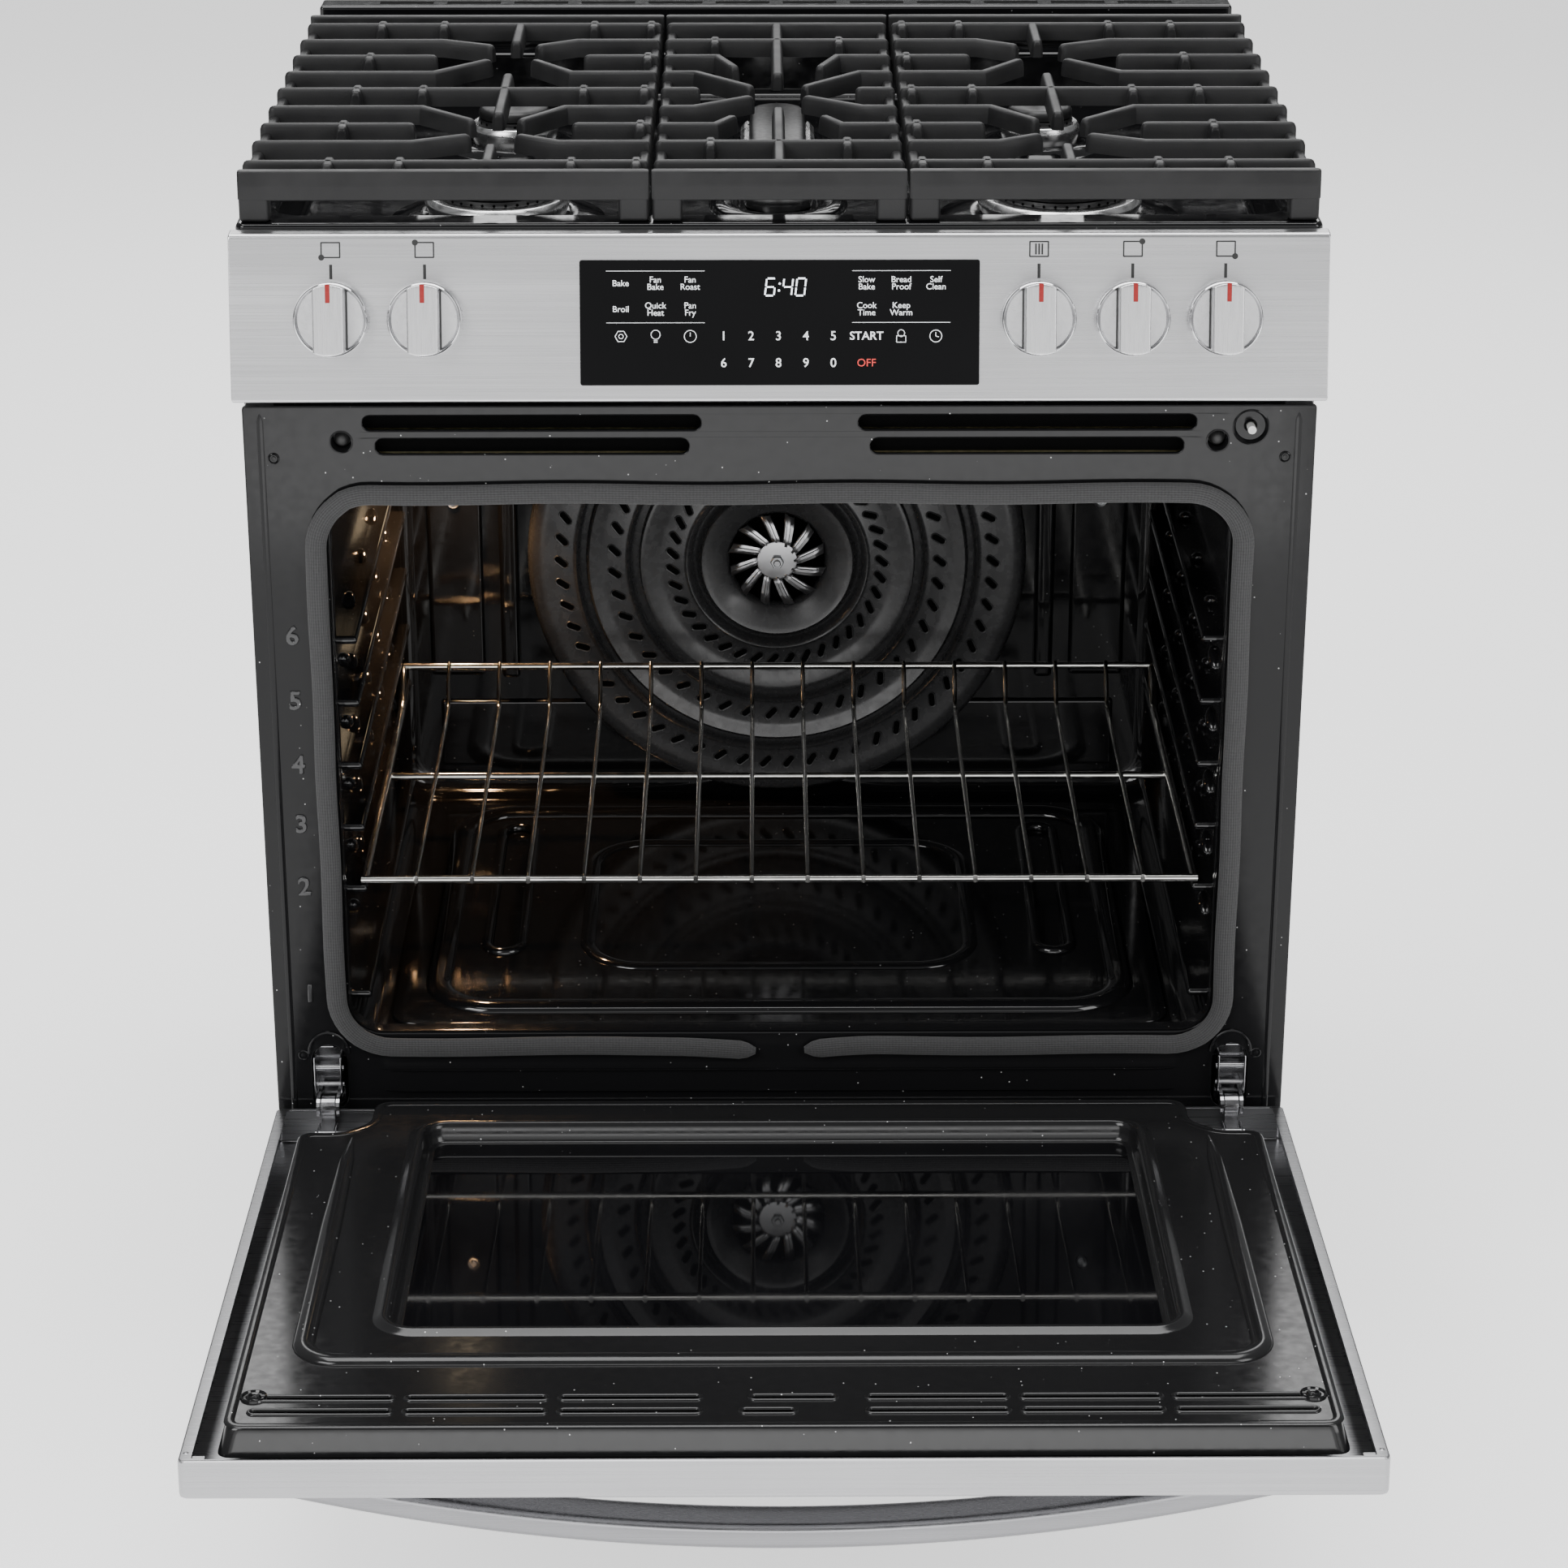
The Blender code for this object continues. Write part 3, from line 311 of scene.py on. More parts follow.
# ---------------------------------------------------------------- shapes
def finish_mesh(name, shape, material, body="range_body", matrix=RANGE, smooth=35, replaces=()):
    """A mesh object from a bmesh, with its material, on its body."""
    mesh = bpy.data.meshes.new(name)
    shape.to_mesh(mesh)
    shape.free()
    if smooth:
        mesh.shade_smooth()
        mesh.set_sharp_from_angle(angle=math.radians(smooth))
    mesh.materials.append(MAT[material])
    piece = bpy.data.objects.new(name, mesh)
    bpy.context.scene.collection.objects.link(piece)
    piece.matrix_world = matrix
    if smooth:
        normals = piece.modifiers.new("face_normals", "WEIGHTED_NORMAL")
        normals.keep_sharp = True
        normals.weight = 100
    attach(piece, body)
    if replaces:
        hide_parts(*replaces)
    return piece


def rounded(left, low, right, top, radius, steps=8):
    corners = ((right - radius, top - radius, 0), (left + radius, top - radius, 90),
               (left + radius, low + radius, 180), (right - radius, low + radius, 270))
    points = []
    for across, up, first in corners:
        for step in range(steps + 1):
            angle = math.radians(first + 90 * step / steps)
            points.append((across + radius * math.cos(angle), up + radius * math.sin(angle)))
    return points


def stadium(left, low, right, top, steps=8):
    return rounded(left, low, right, top, min(right - left, top - low) / 2 * 0.999, steps)


def grown(area, margin):
    left, low, right, top = area
    return left - margin, low - margin, right + margin, top + margin


def rounded_polygon(corners, radii, steps=6):
    """A polygon whose corners, in or out, are rounded."""
    points = []
    for index, corner in enumerate(corners):
        corner = Vector(corner)
        before = (Vector(corners[index - 1]) - corner).normalized()
        after = (Vector(corners[(index + 1) % len(corners)]) - corner).normalized()
        reach = radii[index]
        for step in range(steps + 1):
            t = step / steps
            points.append(tuple(corner + before * reach * (1 - t) ** 2 + after * reach * t ** 2))
    return points


def in_plane(points, plane, depth):
    """2-D points set in the XZ or XY plane at a depth."""
    return [Vector((u, depth, v) if plane == "XZ" else (u, v, depth)) for u, v in points]


def stacked(outlines, plane="XZ"):
    """Rings from pairs of an outline and its depth."""
    return [in_plane(outline, plane, depth) for outline, depth in outlines]


def add_loft(shape, rings, cap_first=False, cap_last=False, closed=True):
    """Joins rings of equal length with faces."""
    rows = [[shape.verts.new(point) for point in ring] for ring in rings]
    count = len(rows[0])
    for near, far in zip(rows, rows[1:]):
        for index in range(count if closed else count - 1):
            after = (index + 1) % count
            shape.faces.new([near[index], near[after], far[after], far[index]])
    if cap_first:
        shape.faces.new(rows[0][::-1])
    if cap_last:
        shape.faces.new(rows[-1])


def add_solid(shape, rings):
    add_loft(shape, rings, cap_first=True, cap_last=True)


def eased_ends(half):
    """Stations along X for a bar whose ends are rounded: each place and how much its section shrinks."""
    left = [(-half, 0.0012), (-half + 0.0004, 0.0004), (-half + 0.0012, 0.0)]
    return left + [(-x, shrink) for x, shrink in reversed(left)]


def outward(shape):
    bmesh.ops.recalc_face_normals(shape, faces=shape.faces)
    return shape


def tidy(shape):
    bmesh.ops.remove_doubles(shape, verts=shape.verts, dist=0.000005)
    return outward(shape)


def facing(x, y, z, degrees=90):
    """A place whose Z axis points to the front, or to the back at -90 degrees."""
    return Matrix.Translation((x, y, z)) @ Matrix.Rotation(math.radians(degrees), 4, "X")


def add_turned(shape, profile, steps=48, matrix=Matrix.Identity(4)):
    """Turns (radius, height) points about Z."""
    rings = []
    for step in range(steps):
        angle = math.tau * step / steps
        rings.append([matrix @ Vector((r * math.cos(angle), r * math.sin(angle), z)) for r, z in profile])
    rings.append(rings[0])
    add_loft(shape, rings, closed=False)


def turned_piece(name, profile, steps, places, material, body="range_body", matrix=RANGE, smooth=35,
                 replaces=()):
    """One piece made of the same turned shape at every place."""
    shape = bmesh.new()
    for place in places:
        add_turned(shape, profile, steps, place)
    finish_mesh(name, tidy(shape), material, body, matrix, smooth, replaces)


def add_rod(shape, start, end, radius, sides=16):
    start, end = Vector(start), Vector(end)
    turn = (end - start).to_track_quat("Z", "Y").to_matrix().to_4x4()
    middle = Matrix.Translation((start + end) / 2) @ turn
    bmesh.ops.create_cone(shape, cap_ends=True, segments=sides, radius1=radius, radius2=radius,
                          depth=(end - start).length, matrix=middle)


def add_sweep(shape, path, section, closed=False, up=UP, scales=None):
    """Carries a section of (side, up) points along a path, with u along and v round it as UVs."""
    uv_layer = shape.loops.layers.uv.verify()
    path = [Vector(point) for point in path]
    count = len(path)
    rings, lengths, travelled = [], [], 0.0
    for index, point in enumerate(path):
        before = path[index - 1] if closed or index else point
        after = path[(index + 1) % count] if closed or index < count - 1 else point
        along = (after - before).normalized()
        side = along.cross(up).normalized()
        scale = scales[index] if scales else 1.0
        rings.append([shape.verts.new(point + (side * s + up * h) * scale) for s, h in section])
        lengths.append(travelled)
        travelled += (path[(index + 1) % count] - point).length
    lengths.append(travelled)
    total = len(section)
    for index in range(count if closed else count - 1):
        near, far = rings[index], rings[(index + 1) % count]
        for corner in range(total):
            after = (corner + 1) % total
            face = shape.faces.new([near[corner], near[after], far[after], far[corner]])
            ends = ((lengths[index], corner), (lengths[index], corner + 1),
                    (lengths[index + 1], corner + 1), (lengths[index + 1], corner))
            for loop, (along, round_it) in zip(face.loops, ends):
                loop[uv_layer].uv = (along, round_it / total)
    if not closed:
        shape.faces.new(rings[0][::-1])
        shape.faces.new(rings[-1])


def ellipse(width, height, sides=16):
    return [(width / 2 * math.cos(math.tau * n / sides), height / 2 * math.sin(math.tau * n / sides))
            for n in range(sides)]


def arch(width, height, sides=10):
    """The top half of an ellipse, standing on its base."""
    return [(width / 2 * math.cos(math.pi * n / sides), height * math.sin(math.pi * n / sides))
            for n in range(sides + 1)]


def add_block(shape, low, high, edge=0.001, segments=2):
    """A box with rounded edges."""
    low, high = Vector(low), Vector(high)
    place = Matrix.Translation((low + high) / 2) @ Matrix.Diagonal((*(high - low), 1))
    made = bmesh.ops.create_cube(shape, size=1, matrix=place)
    edges = list({e for v in made["verts"] for e in v.link_edges})
    bmesh.ops.bevel(shape, geom=edges, offset=edge, segments=segments, profile=0.5, affect="EDGES",
                    clamp_overlap=True)


def block_piece(name, blocks, edge, material, body="range_body", matrix=RANGE, smooth=35, segments=2,
                replaces=()):
    """One piece made of rounded boxes, given by their low and high corners."""
    shape = bmesh.new()
    for low, high in blocks:
        add_block(shape, low, high, edge, segments)
    finish_mesh(name, shape, material, body, matrix, smooth, replaces)


def curve_shape(name, curve):
    """The mesh that a curve or a text gives."""
    guide = bpy.data.objects.new(name + "_guide", curve)
    bpy.context.scene.collection.objects.link(guide)
    bpy.context.view_layer.update()
    mesh = bpy.data.meshes.new_from_object(guide.evaluated_get(bpy.context.evaluated_depsgraph_get()))
    bpy.data.objects.remove(guide)
    shape = bmesh.new()
    shape.from_mesh(mesh)
    bpy.data.meshes.remove(mesh)
    return shape


def curve_plate(name, loops, plane, low, high, edge, material, body="range_body", matrix=RANGE,
                replaces=()):
    """A flat outline with holes and rounded edges. The first loop is the outer one."""
    curve = bpy.data.curves.new(name, "CURVE")
    curve.dimensions = "2D"
    curve.fill_mode = "BOTH"
    curve.extrude = (high - low) / 2 - edge
    curve.bevel_depth = edge
    curve.bevel_resolution = 2
    curve.offset = -edge
    for index, loop in enumerate(loops):
        spline = curve.splines.new("POLY")
        spline.points.add(len(loop) - 1)
        ordered = loop if index == 0 else loop[::-1]
        for point, (across, up) in zip(spline.points, ordered):
            point.co = (across, up, 0, 1)
        spline.use_cyclic_u = True
    shape = curve_shape(name, curve)
    middle = (low + high) / 2
    place = facing(0, middle, 0) if plane == "XZ" else Matrix.Translation((0, 0, middle))
    bmesh.ops.transform(shape, matrix=place, verts=shape.verts)
    finish_mesh(name, tidy(shape), material, body, matrix, 30, replaces)


def add_text(words, size, across, up, matrix, material, name, depth=0.00006, bold=0.0, edge=0.0):
    """Flat lettering centred on a place in a matrix's XZ plane, facing -Y."""
    text = bpy.data.curves.new(name, "FONT")
    text.body = words
    text.size = size
    text.align_x = "CENTER"
    text.align_y = "CENTER"
    text.bevel_depth = edge
    text.bevel_resolution = 2
    text.extrude = depth
    text.offset = bold
    text.resolution_u = 4
    text.space_line = 0.82
    shape = curve_shape(name, text)
    bmesh.ops.transform(shape, matrix=facing(across, 0, up), verts=shape.verts)
    finish_mesh(name, shape, material, matrix=matrix, smooth=0)


def repaint(material, *nodes):
    """A better material on CAD nodes whose shape is already right."""
    for name in nodes:
        piece = frame["nodes"][name]
        piece.data.materials.clear()
        piece.data.materials.append(MAT[material])


# ---------------------------------------------------------------- camera, stage and light
def camera_and_stage():
    camera = bpy.data.objects.new("camera", bpy.data.cameras.new("camera"))
    bpy.context.scene.collection.objects.link(camera)
    camera.data.lens = 93.8
    camera.data.sensor_width = 36
    camera.location = (-0.0133, -2.77, 1.62)
    camera.rotation_euler = (math.radians(90 - 22.63), 0, math.radians(-0.34))
    bpy.context.scene.camera = camera
    bpy.ops.mesh.primitive_plane_add(size=40)
    floor = bpy.context.object
    floor.name = "floor"
    paint = Paint("floor_paint", (0.86, 0.86, 0.86), 0.75)
    tone = paint.noise(0.6, 2.0)
    paint.mix(paint.spread(tone, 0, 1), (0.85, 0.85, 0.85), (0.88, 0.88, 0.88))
    paint.shader.inputs["Emission Color"].default_value = (1.0, 1.0, 1.0, 1)
    paint.shader.inputs["Emission Strength"].default_value = 1.0
    floor.data.materials.append(paint.material)
    world = bpy.data.worlds.new("studio")
    world.use_nodes = True
    world.node_tree.nodes["Background"].inputs["Color"].default_value = (0.98, 0.99, 1.0, 1)
    world.node_tree.nodes["Background"].inputs["Strength"].default_value = 0.24
    bpy.context.scene.world = world


def add_light(name, lamp, place, target):
    holder = bpy.data.objects.new(name, lamp)
    bpy.context.scene.collection.objects.link(holder)
    holder.location = place
    holder.rotation_euler = (Vector(target) - Vector(place)).to_track_quat("-Z", "Y").to_euler()
    holder.visible_camera = False


def studio_lights():
    """Large soft lights round the range and a wide low one that reaches into the oven."""
    heart = (0, 0, 0.5)
    for name, place, target, wide, high, power in (
            ("key", (-2.4, -3.0, 3.2), heart, 2.2, 2.2, 120),
            ("fill", (2.6, -2.6, 2.2), heart, 1.6, 2.4, 60),
            ("top", (0, 0.4, 3.6), heart, 3.0, 2.4, 130), ("back", (0, 3.2, 2.4), heart, 2.5, 1.5, 40),
            ("front", (0, -6.0, 1.3), heart, 7.0, 3.0, 80),
            ("oven_fill", (0, -1.25, 0.36), (0, 0.46, 0.5), 1.1, 0.25, 2.2)):
        lamp = bpy.data.lights.new(name, "AREA")
        lamp.shape = "RECTANGLE"
        lamp.size = wide
        lamp.size_y = high
        lamp.energy = power
        add_light(name, lamp, place, target)


def oven_lights():
    """The oven lamp's warm light: one spot on the left wall and one on the floor."""
    for name, power, cone, blend, size, place, target in (
            ("oven_glow", 9.0, 96, 0.5, 0.014, (-0.205, 0.33, 0.658), (-0.325, 0.3, 0.59)),
            ("oven_lamp_light", 5.0, 80, 0.25, 0.012, (-0.277, 0.44, 0.64), (-0.26, 0.35, 0.3))):
        lamp = bpy.data.lights.new(name, "SPOT")
        lamp.energy = power
        lamp.color = (1.0, 0.58, 0.28)
        lamp.spot_size = math.radians(cone)
        lamp.spot_blend = blend
        lamp.shadow_soft_size = size
        add_light(name, lamp, RANGE @ Vector(place), RANGE @ Vector(target))


# ---------------------------------------------------------------- body
def front_plate():
    """The enamelled front with its mouth, four vent slots, hinge slots, bumper holes and switch recess."""
    loops = [rounded(*FRONT_AREA, 0.003, 3), rounded(*grown(MOUTH, 0.0015), 0.025)]
    for side in SIDES:
        middle = side * 0.1745
        loops.append(stadium(middle - 0.119, 0.7435, middle + 0.119, 0.754))
        loops.append(stadium(middle - 0.1105, 0.726, middle + 0.1105, 0.737))
        loops.append(stadium(side * HINGE_X - 0.013, 0.207, side * HINGE_X + 0.013, 0.262))
        loops.append(rounded(side * BUMPER_X - 0.0074, 0.7276, side * BUMPER_X + 0.0074, 0.7424, 0.0073))
    loops.append(rounded(0.3205, 0.7335, 0.3435, 0.7565, 0.0114))
    curve_plate("front_plate", loops, "XZ", 0.0, 0.0034, 0.0012, "frame_enamel", replaces=("front_frame",))


def front_returns():
    """What turns back from the front plate: walls, mouth lip, bumper cups, switch dish, beads and folds."""
    shape = bmesh.new()
    wall = rounded(*grown(FRONT_AREA, -0.0008), 0.0026, 3)
    add_loft(shape, stacked((wall, y) for y in (0.002, 0.018)))
    lip = ((0.0015, 0.0012), (0.0005, 0.0004), (-0.0002, 0.003), (-0.0002, 0.012))
    add_loft(shape, stacked((rounded(*grown(MOUTH, margin), 0.0245), y) for margin, y in lip))
    for side in SIDES:
        add_turned(shape, [(0.0082, 0.0002), (0.0074, 0.0004), (0.0066, -0.004), (0.006, -0.01),
                           (0, -0.01)], 32, facing(side * BUMPER_X, 0.0, BUMPER_Z))
    add_turned(shape, [(0.0131, 0.0002), (0.0122, 0.0006), (0.0112, -0.002), (0.0104, -0.0035),
                       (0.0048, -0.0035), (0.004, -0.001), (0.0036, -0.0035), (0.0036, -0.012)], 40,
               facing(0.332, 0.0, 0.745))
    for height, y in ((0.2425, 0.0), (0.2245, 0.0006)):
        bead = [(x, y, height) for x in (-0.3, -0.292, -0.28, 0.0, 0.28, 0.292, 0.3)]
        add_sweep(shape, bead, [(h, s) for s, h in arch(0.0055, -0.0012)], up=BACK,
                  scales=[0.05, 0.7, 1, 1, 1, 0.7, 0.05])
    for side in SIDES:
        fold = [(side * 0.3655, 0.0003, z) for z in (0.192, 0.2, 0.45, 0.75, 0.7575)]
        add_sweep(shape, fold, arch(0.005, 0.0011, 8), up=-BACK, scales=[0.1, 1, 1, 1, 0.1])
    finish_mesh("front_returns", tidy(shape), "frame_enamel")


def front_details():
    """Dark plates of painted shade behind the vents, raised level numbers, screws, door bumpers and the
    switch.
    """
    # Thin dark plates set behind the vent slots: painted shade.
    pockets = []
    for side in SIDES:
        for near, low, far, high in ((0.0535, 0.7425, 0.295, 0.755), (0.062, 0.725, 0.2865, 0.738)):
            left, right = sorted((side * near, side * far))
            pockets.append(((left, 0.0095, low), (right, 0.0105, high)))
    block_piece("vent_shade_plates", pockets, 0.0002, "port")
    above_guide = (0.007, 0.0074, 0.008, 0.0055, 0.006, 0.007)
    # The numbers use the lighter enamel: a painted highlight.
    for number, z, rise in zip(range(1, 7), RACK_LEVELS, above_guide):
        add_text(str(number), 0.019, -0.35, z + rise, RANGE @ Matrix.Translation((0, 0.0001, 0)),
                 "number_enamel_painted_highlight", f"level_number_{number}", 0.0009, edge=0.0007)
    turned_piece("frame_screws", [(0, 0.0012), (0.0016, 0.0011), (0.0017, 0.0003), (0.0026, 0.0003),
                                  (0.0033, 0.0012), (0.004, 0.0009), (0.0042, 0)], 24,
                 [facing(x, -0.0002, z) for x in (-0.357, 0.357) for z in (0.723, 0.2546)], "frame_enamel")
    turned_piece("door_bumpers", [(0, 0.0032), (0.002, 0.003), (0.0036, 0.0018), (0.0042, 0),
                                  (0.0052, -0.001), (0.0058, -0.003)], 28,
                 [facing(side * BUMPER_X, 0.006, BUMPER_Z) for side in SIDES], "rubber")
    repaint("switch", "switch_plunger")


def door_seal():
    """The braided seal: a soft oval tube round the mouth, whose two ends droop at the bottom."""
    shape = bmesh.new()
    middle = rounded(-0.3305, 0.2625, 0.3305, 0.697, 0.04, 10)
    runs = []
    count = len(middle)
    for index, point in enumerate(middle):
        after = middle[(index + 1) % count]
        length = math.hypot(after[0] - point[0], after[1] - point[1])
        pieces = max(1, int(length / 0.006))
        for step in range(pieces):
            t = step / pieces
            runs.append((point[0] + (after[0] - point[0]) * t, point[1] + (after[1] - point[1]) * t))
    start = min(range(len(runs)), key=lambda n: abs(runs[n][0] - 0.0145) + (10 if runs[n][1] > 0.3 else 0))
    ordered = [runs[(start + n) % len(runs)] for n in range(len(runs))]
    ordered = [point for point in ordered if not (point[1] < 0.27 and abs(point[0]) < 0.0145)]
    path, scales = [], []
    for index, (x, z) in enumerate(ordered):
        droop = 0.0055 * max(0, 1 - abs(x) / 0.075) ** 1.5 if z < 0.3 else 0
        wave = 0.0007 * math.sin(x * 31) + 0.0004 * math.sin(z * 47 + 1)
        from_end = min(index, len(ordered) - 1 - index) * 0.006
        scales.append(min(1.0, 0.35 + 0.65 * math.sin(min(1, from_end / 0.012) * math.pi / 2)))
        path.append((x + (wave if abs(x) > 0.31 else 0), -0.0041,
                     z - droop + (wave if abs(x) < 0.31 else 0)))
    add_sweep(shape, path, ellipse(0.015, 0.0072, 20), up=-BACK, scales=scales)
    finish_mesh("door_seal", outward(shape), "gasket", smooth=60, replaces=("door_gasket",))


def cavity_rings():
    """The oven's rounded section carried from its flared mouth to the bend of the back wall."""
    rows = ((0.024, 0.04, 0.003), (0.004, 0.028, 0.0034), (0.0012, 0.026, 0.005))
    rings = [(rounded(*grown(CAVITY, margin), radius), y) for margin, radius, y in rows]
    rings += [(rounded(*CAVITY, 0.025), y) for y in (0.009, 0.12, 0.24, 0.36)]
    bend = 0.016
    for step in range(7):
        angle = math.radians(90 * step / 6)
        margin = -bend * (1 - math.cos(angle))
        rings.append((rounded(*grown(CAVITY, margin), 0.025 + margin * 0.3),
                      CAVITY_BACK - bend + bend * math.sin(angle)))
    rings.append((rounded(*grown(CAVITY, -0.1), 0.02), CAVITY_BACK))
    return stacked(rings)


def rack_guides(shape, right):
    """A ledge for each rack level on both walls, and the dimples pressed between them."""
    for level in RACK_LEVELS:
        for side in SIDES:
            near, far = sorted((side * 0.3066, side * (right + 0.003)))
            add_block(shape, (near, 0.026, level - 0.0096), (far, 0.455, level - 0.0034), 0.0028, 4)
    for side in SIDES:
        for level in RACK_LEVELS[1:]:
            for step in range(9):
                rise = 0.002 if step % 2 else -0.024
                place = Matrix.Translation((side * (right - 0.0002), 0.05 + step * 0.048,
                                            level - 0.006 + rise))
                place = place @ Matrix.Rotation(0.5 * side * (-1) ** step, 4, "X")
                bmesh.ops.create_icosphere(shape, subdivisions=3, radius=1,
                                           matrix=place @ Matrix.Diagonal((0.0052, 0.012, 0.0052, 1)))


def oven_walls():
    """The enamelled cavity with its guides, the pressed panels of its back wall and the burner box."""
    shape = bmesh.new()
    left, low, right, _ = CAVITY
    add_loft(shape, cavity_rings(), cap_last=True)
    bmesh.ops.reverse_faces(outward(shape), faces=shape.faces)
    rack_guides(shape, right)
    for side in SIDES:
        for inner, outer, proud in ((0.2165, 0.232, 0.012), (0.246, 0.292, 0.006)):
            near, far = sorted((side * inner, side * outer))
            add_block(shape, (near, CAVITY_BACK - proud, 0.375), (far, CAVITY_BACK + 0.002, 0.672), 0.004,
                      3)
    add_block(shape, (-0.285, CAVITY_BACK - 0.004, 0.292), (0.285, CAVITY_BACK + 0.002, 0.352), 0.0035, 3)
    finish_mesh("oven_walls", shape, "oven_enamel", replaces=("oven_liner",))
    outside = bmesh.new()
    add_block(outside, (-0.25, 0.06, 0.205), (0.25, 0.44, 0.264), 0.004)
    add_block(outside, (left - 0.0015, 0.0042, low - 0.0015),
              (right + 0.0015, CAVITY_BACK + 0.0015, low - 0.0008),
              0.0003)
    finish_mesh("burner_box", outside, "galvanised")


def oven_floor():
    """The lift-out floor with a raised border and two long slots, each with a pressed rim."""
    low, high = 0.2683, 0.2705
    slots = (-0.2155, 0.2155)
    loops = [rounded(-0.293, 0.02, 0.293, 0.445, 0.02)]
    loops += [stadium(x - 0.0105, 0.15, x + 0.0105, 0.39) for x in slots]
    curve_plate("floor_plate", loops, "XY", low, high, 0.0008, "oven_enamel",
                replaces=("oven_floor_cover",))
    shape = bmesh.new()
    for area, width, height in (((-0.262, 0.048, 0.262, 0.425), 0.02, 0.0055),
                                ((-0.15, 0.12, 0.15, 0.36), 0.012, 0.003)):
        border = in_plane(rounded(*area, 0.045, 12), "XY", high - 0.0004)
        add_sweep(shape, border, arch(width, height), closed=True)
    for x in slots:
        rim = in_plane(stadium(x - 0.0135, 0.146, x + 0.0135, 0.394, 10), "XY", high - 0.0003)
        add_sweep(shape, rim, arch(0.0085, 0.0042), closed=True)
    finish_mesh("floor_pressings", outward(shape), "oven_enamel")
    # Dark blocks under the floor slots: painted shade seen through them.
    block_piece("slot_shade_wells", [((x - 0.0125, 0.148, 0.242), (x + 0.0125, 0.392, 0.2655)) for x in slots],
                0.004, "port")


def fan_cover():
    """The convection cover: rings pressed round the fan's eye, with three rows of slanted slots."""
    shape = bmesh.new()
    tilt = facing(0, 0, FAN_Z)
    profile = [(0.0395, 0.47), (0.04, 0.464), (0.043, 0.4605), (0.05, 0.458), (0.058, 0.454),
               (0.0625, 0.453), (0.064, 0.4545), (0.066, 0.461), (0.069, 0.4625), (0.07, 0.46),
               (0.0725, 0.4545), (0.0755, 0.4535), (0.0785, 0.456), (0.0955, 0.456), (0.099, 0.4555),
               (0.11, 0.453), (0.1135, 0.454), (0.115, 0.4615), (0.1205, 0.463), (0.1215, 0.456),
               (0.124, 0.4535), (0.127, 0.456), (0.144, 0.456), (0.1475, 0.455), (0.156, 0.453),
               (0.158, 0.4545), (0.159, 0.462), (0.1635, 0.463), (0.1645, 0.456), (0.167, 0.4535),
               (0.1705, 0.456), (0.1885, 0.456), (0.193, 0.455), (0.202, 0.4555), (0.206, 0.46),
               (0.2078, 0.468), (0.208, 0.479)]
    add_turned(shape, [(r, -y) for r, y in profile], 128, tilt)
    # Each slot gets a flat dark cap across its opening: painted shade.
    holes = bmesh.new()
    for radius, count in ((0.087, 39), (0.1355, 43), (0.1795, 58)):
        for n in range(count):
            around = Matrix.Rotation(math.tau * n / count, 4, "Z")
            place = tilt @ around @ Matrix.Translation((radius, 0, 0))
            place = place @ Matrix.Rotation(math.radians(-40), 4, "Z")
            rings = []
            for margin, depth in ((0.0012, 0.4561), (0.0007, 0.4553), (0.0, 0.4556)):
                outline = stadium(-0.006 - margin, -0.0024 - margin, 0.006 + margin, 0.0024 + margin, 5)
                rings.append([place @ Vector((u, v, -depth)) for u, v in outline])
            add_loft(shape, rings)
            add_loft(holes, [[point + Vector((0, 0.0001, 0)) for point in rings[2]], rings[2]],
                     cap_last=True)
    finish_mesh("fan_cover_slot_shade", outward(holes), "port", smooth=0)
    finish_mesh("fan_cover_rings", tidy(shape), "cover_enamel", smooth=50, replaces=("fan_cover",))
    # A flat dark disc behind the fan: painted shade at the back of the cover.
    turned_piece("fan_cover_back_shade", [(0.0, -0.479), (0.2075, -0.479)], 64, [tilt], "port", smooth=0)
    turned_piece("cover_screws", [(0, 0.0018), (0.0022, 0.0016), (0.003, 0.0004), (0.0048, 0.0014),
                                  (0.0056, 0)],
                 24, [facing(x, CAVITY_BACK - 0.0062, z) for x in (-0.269, 0.269) for z in (0.53, 0.64)],
                 "zinc")


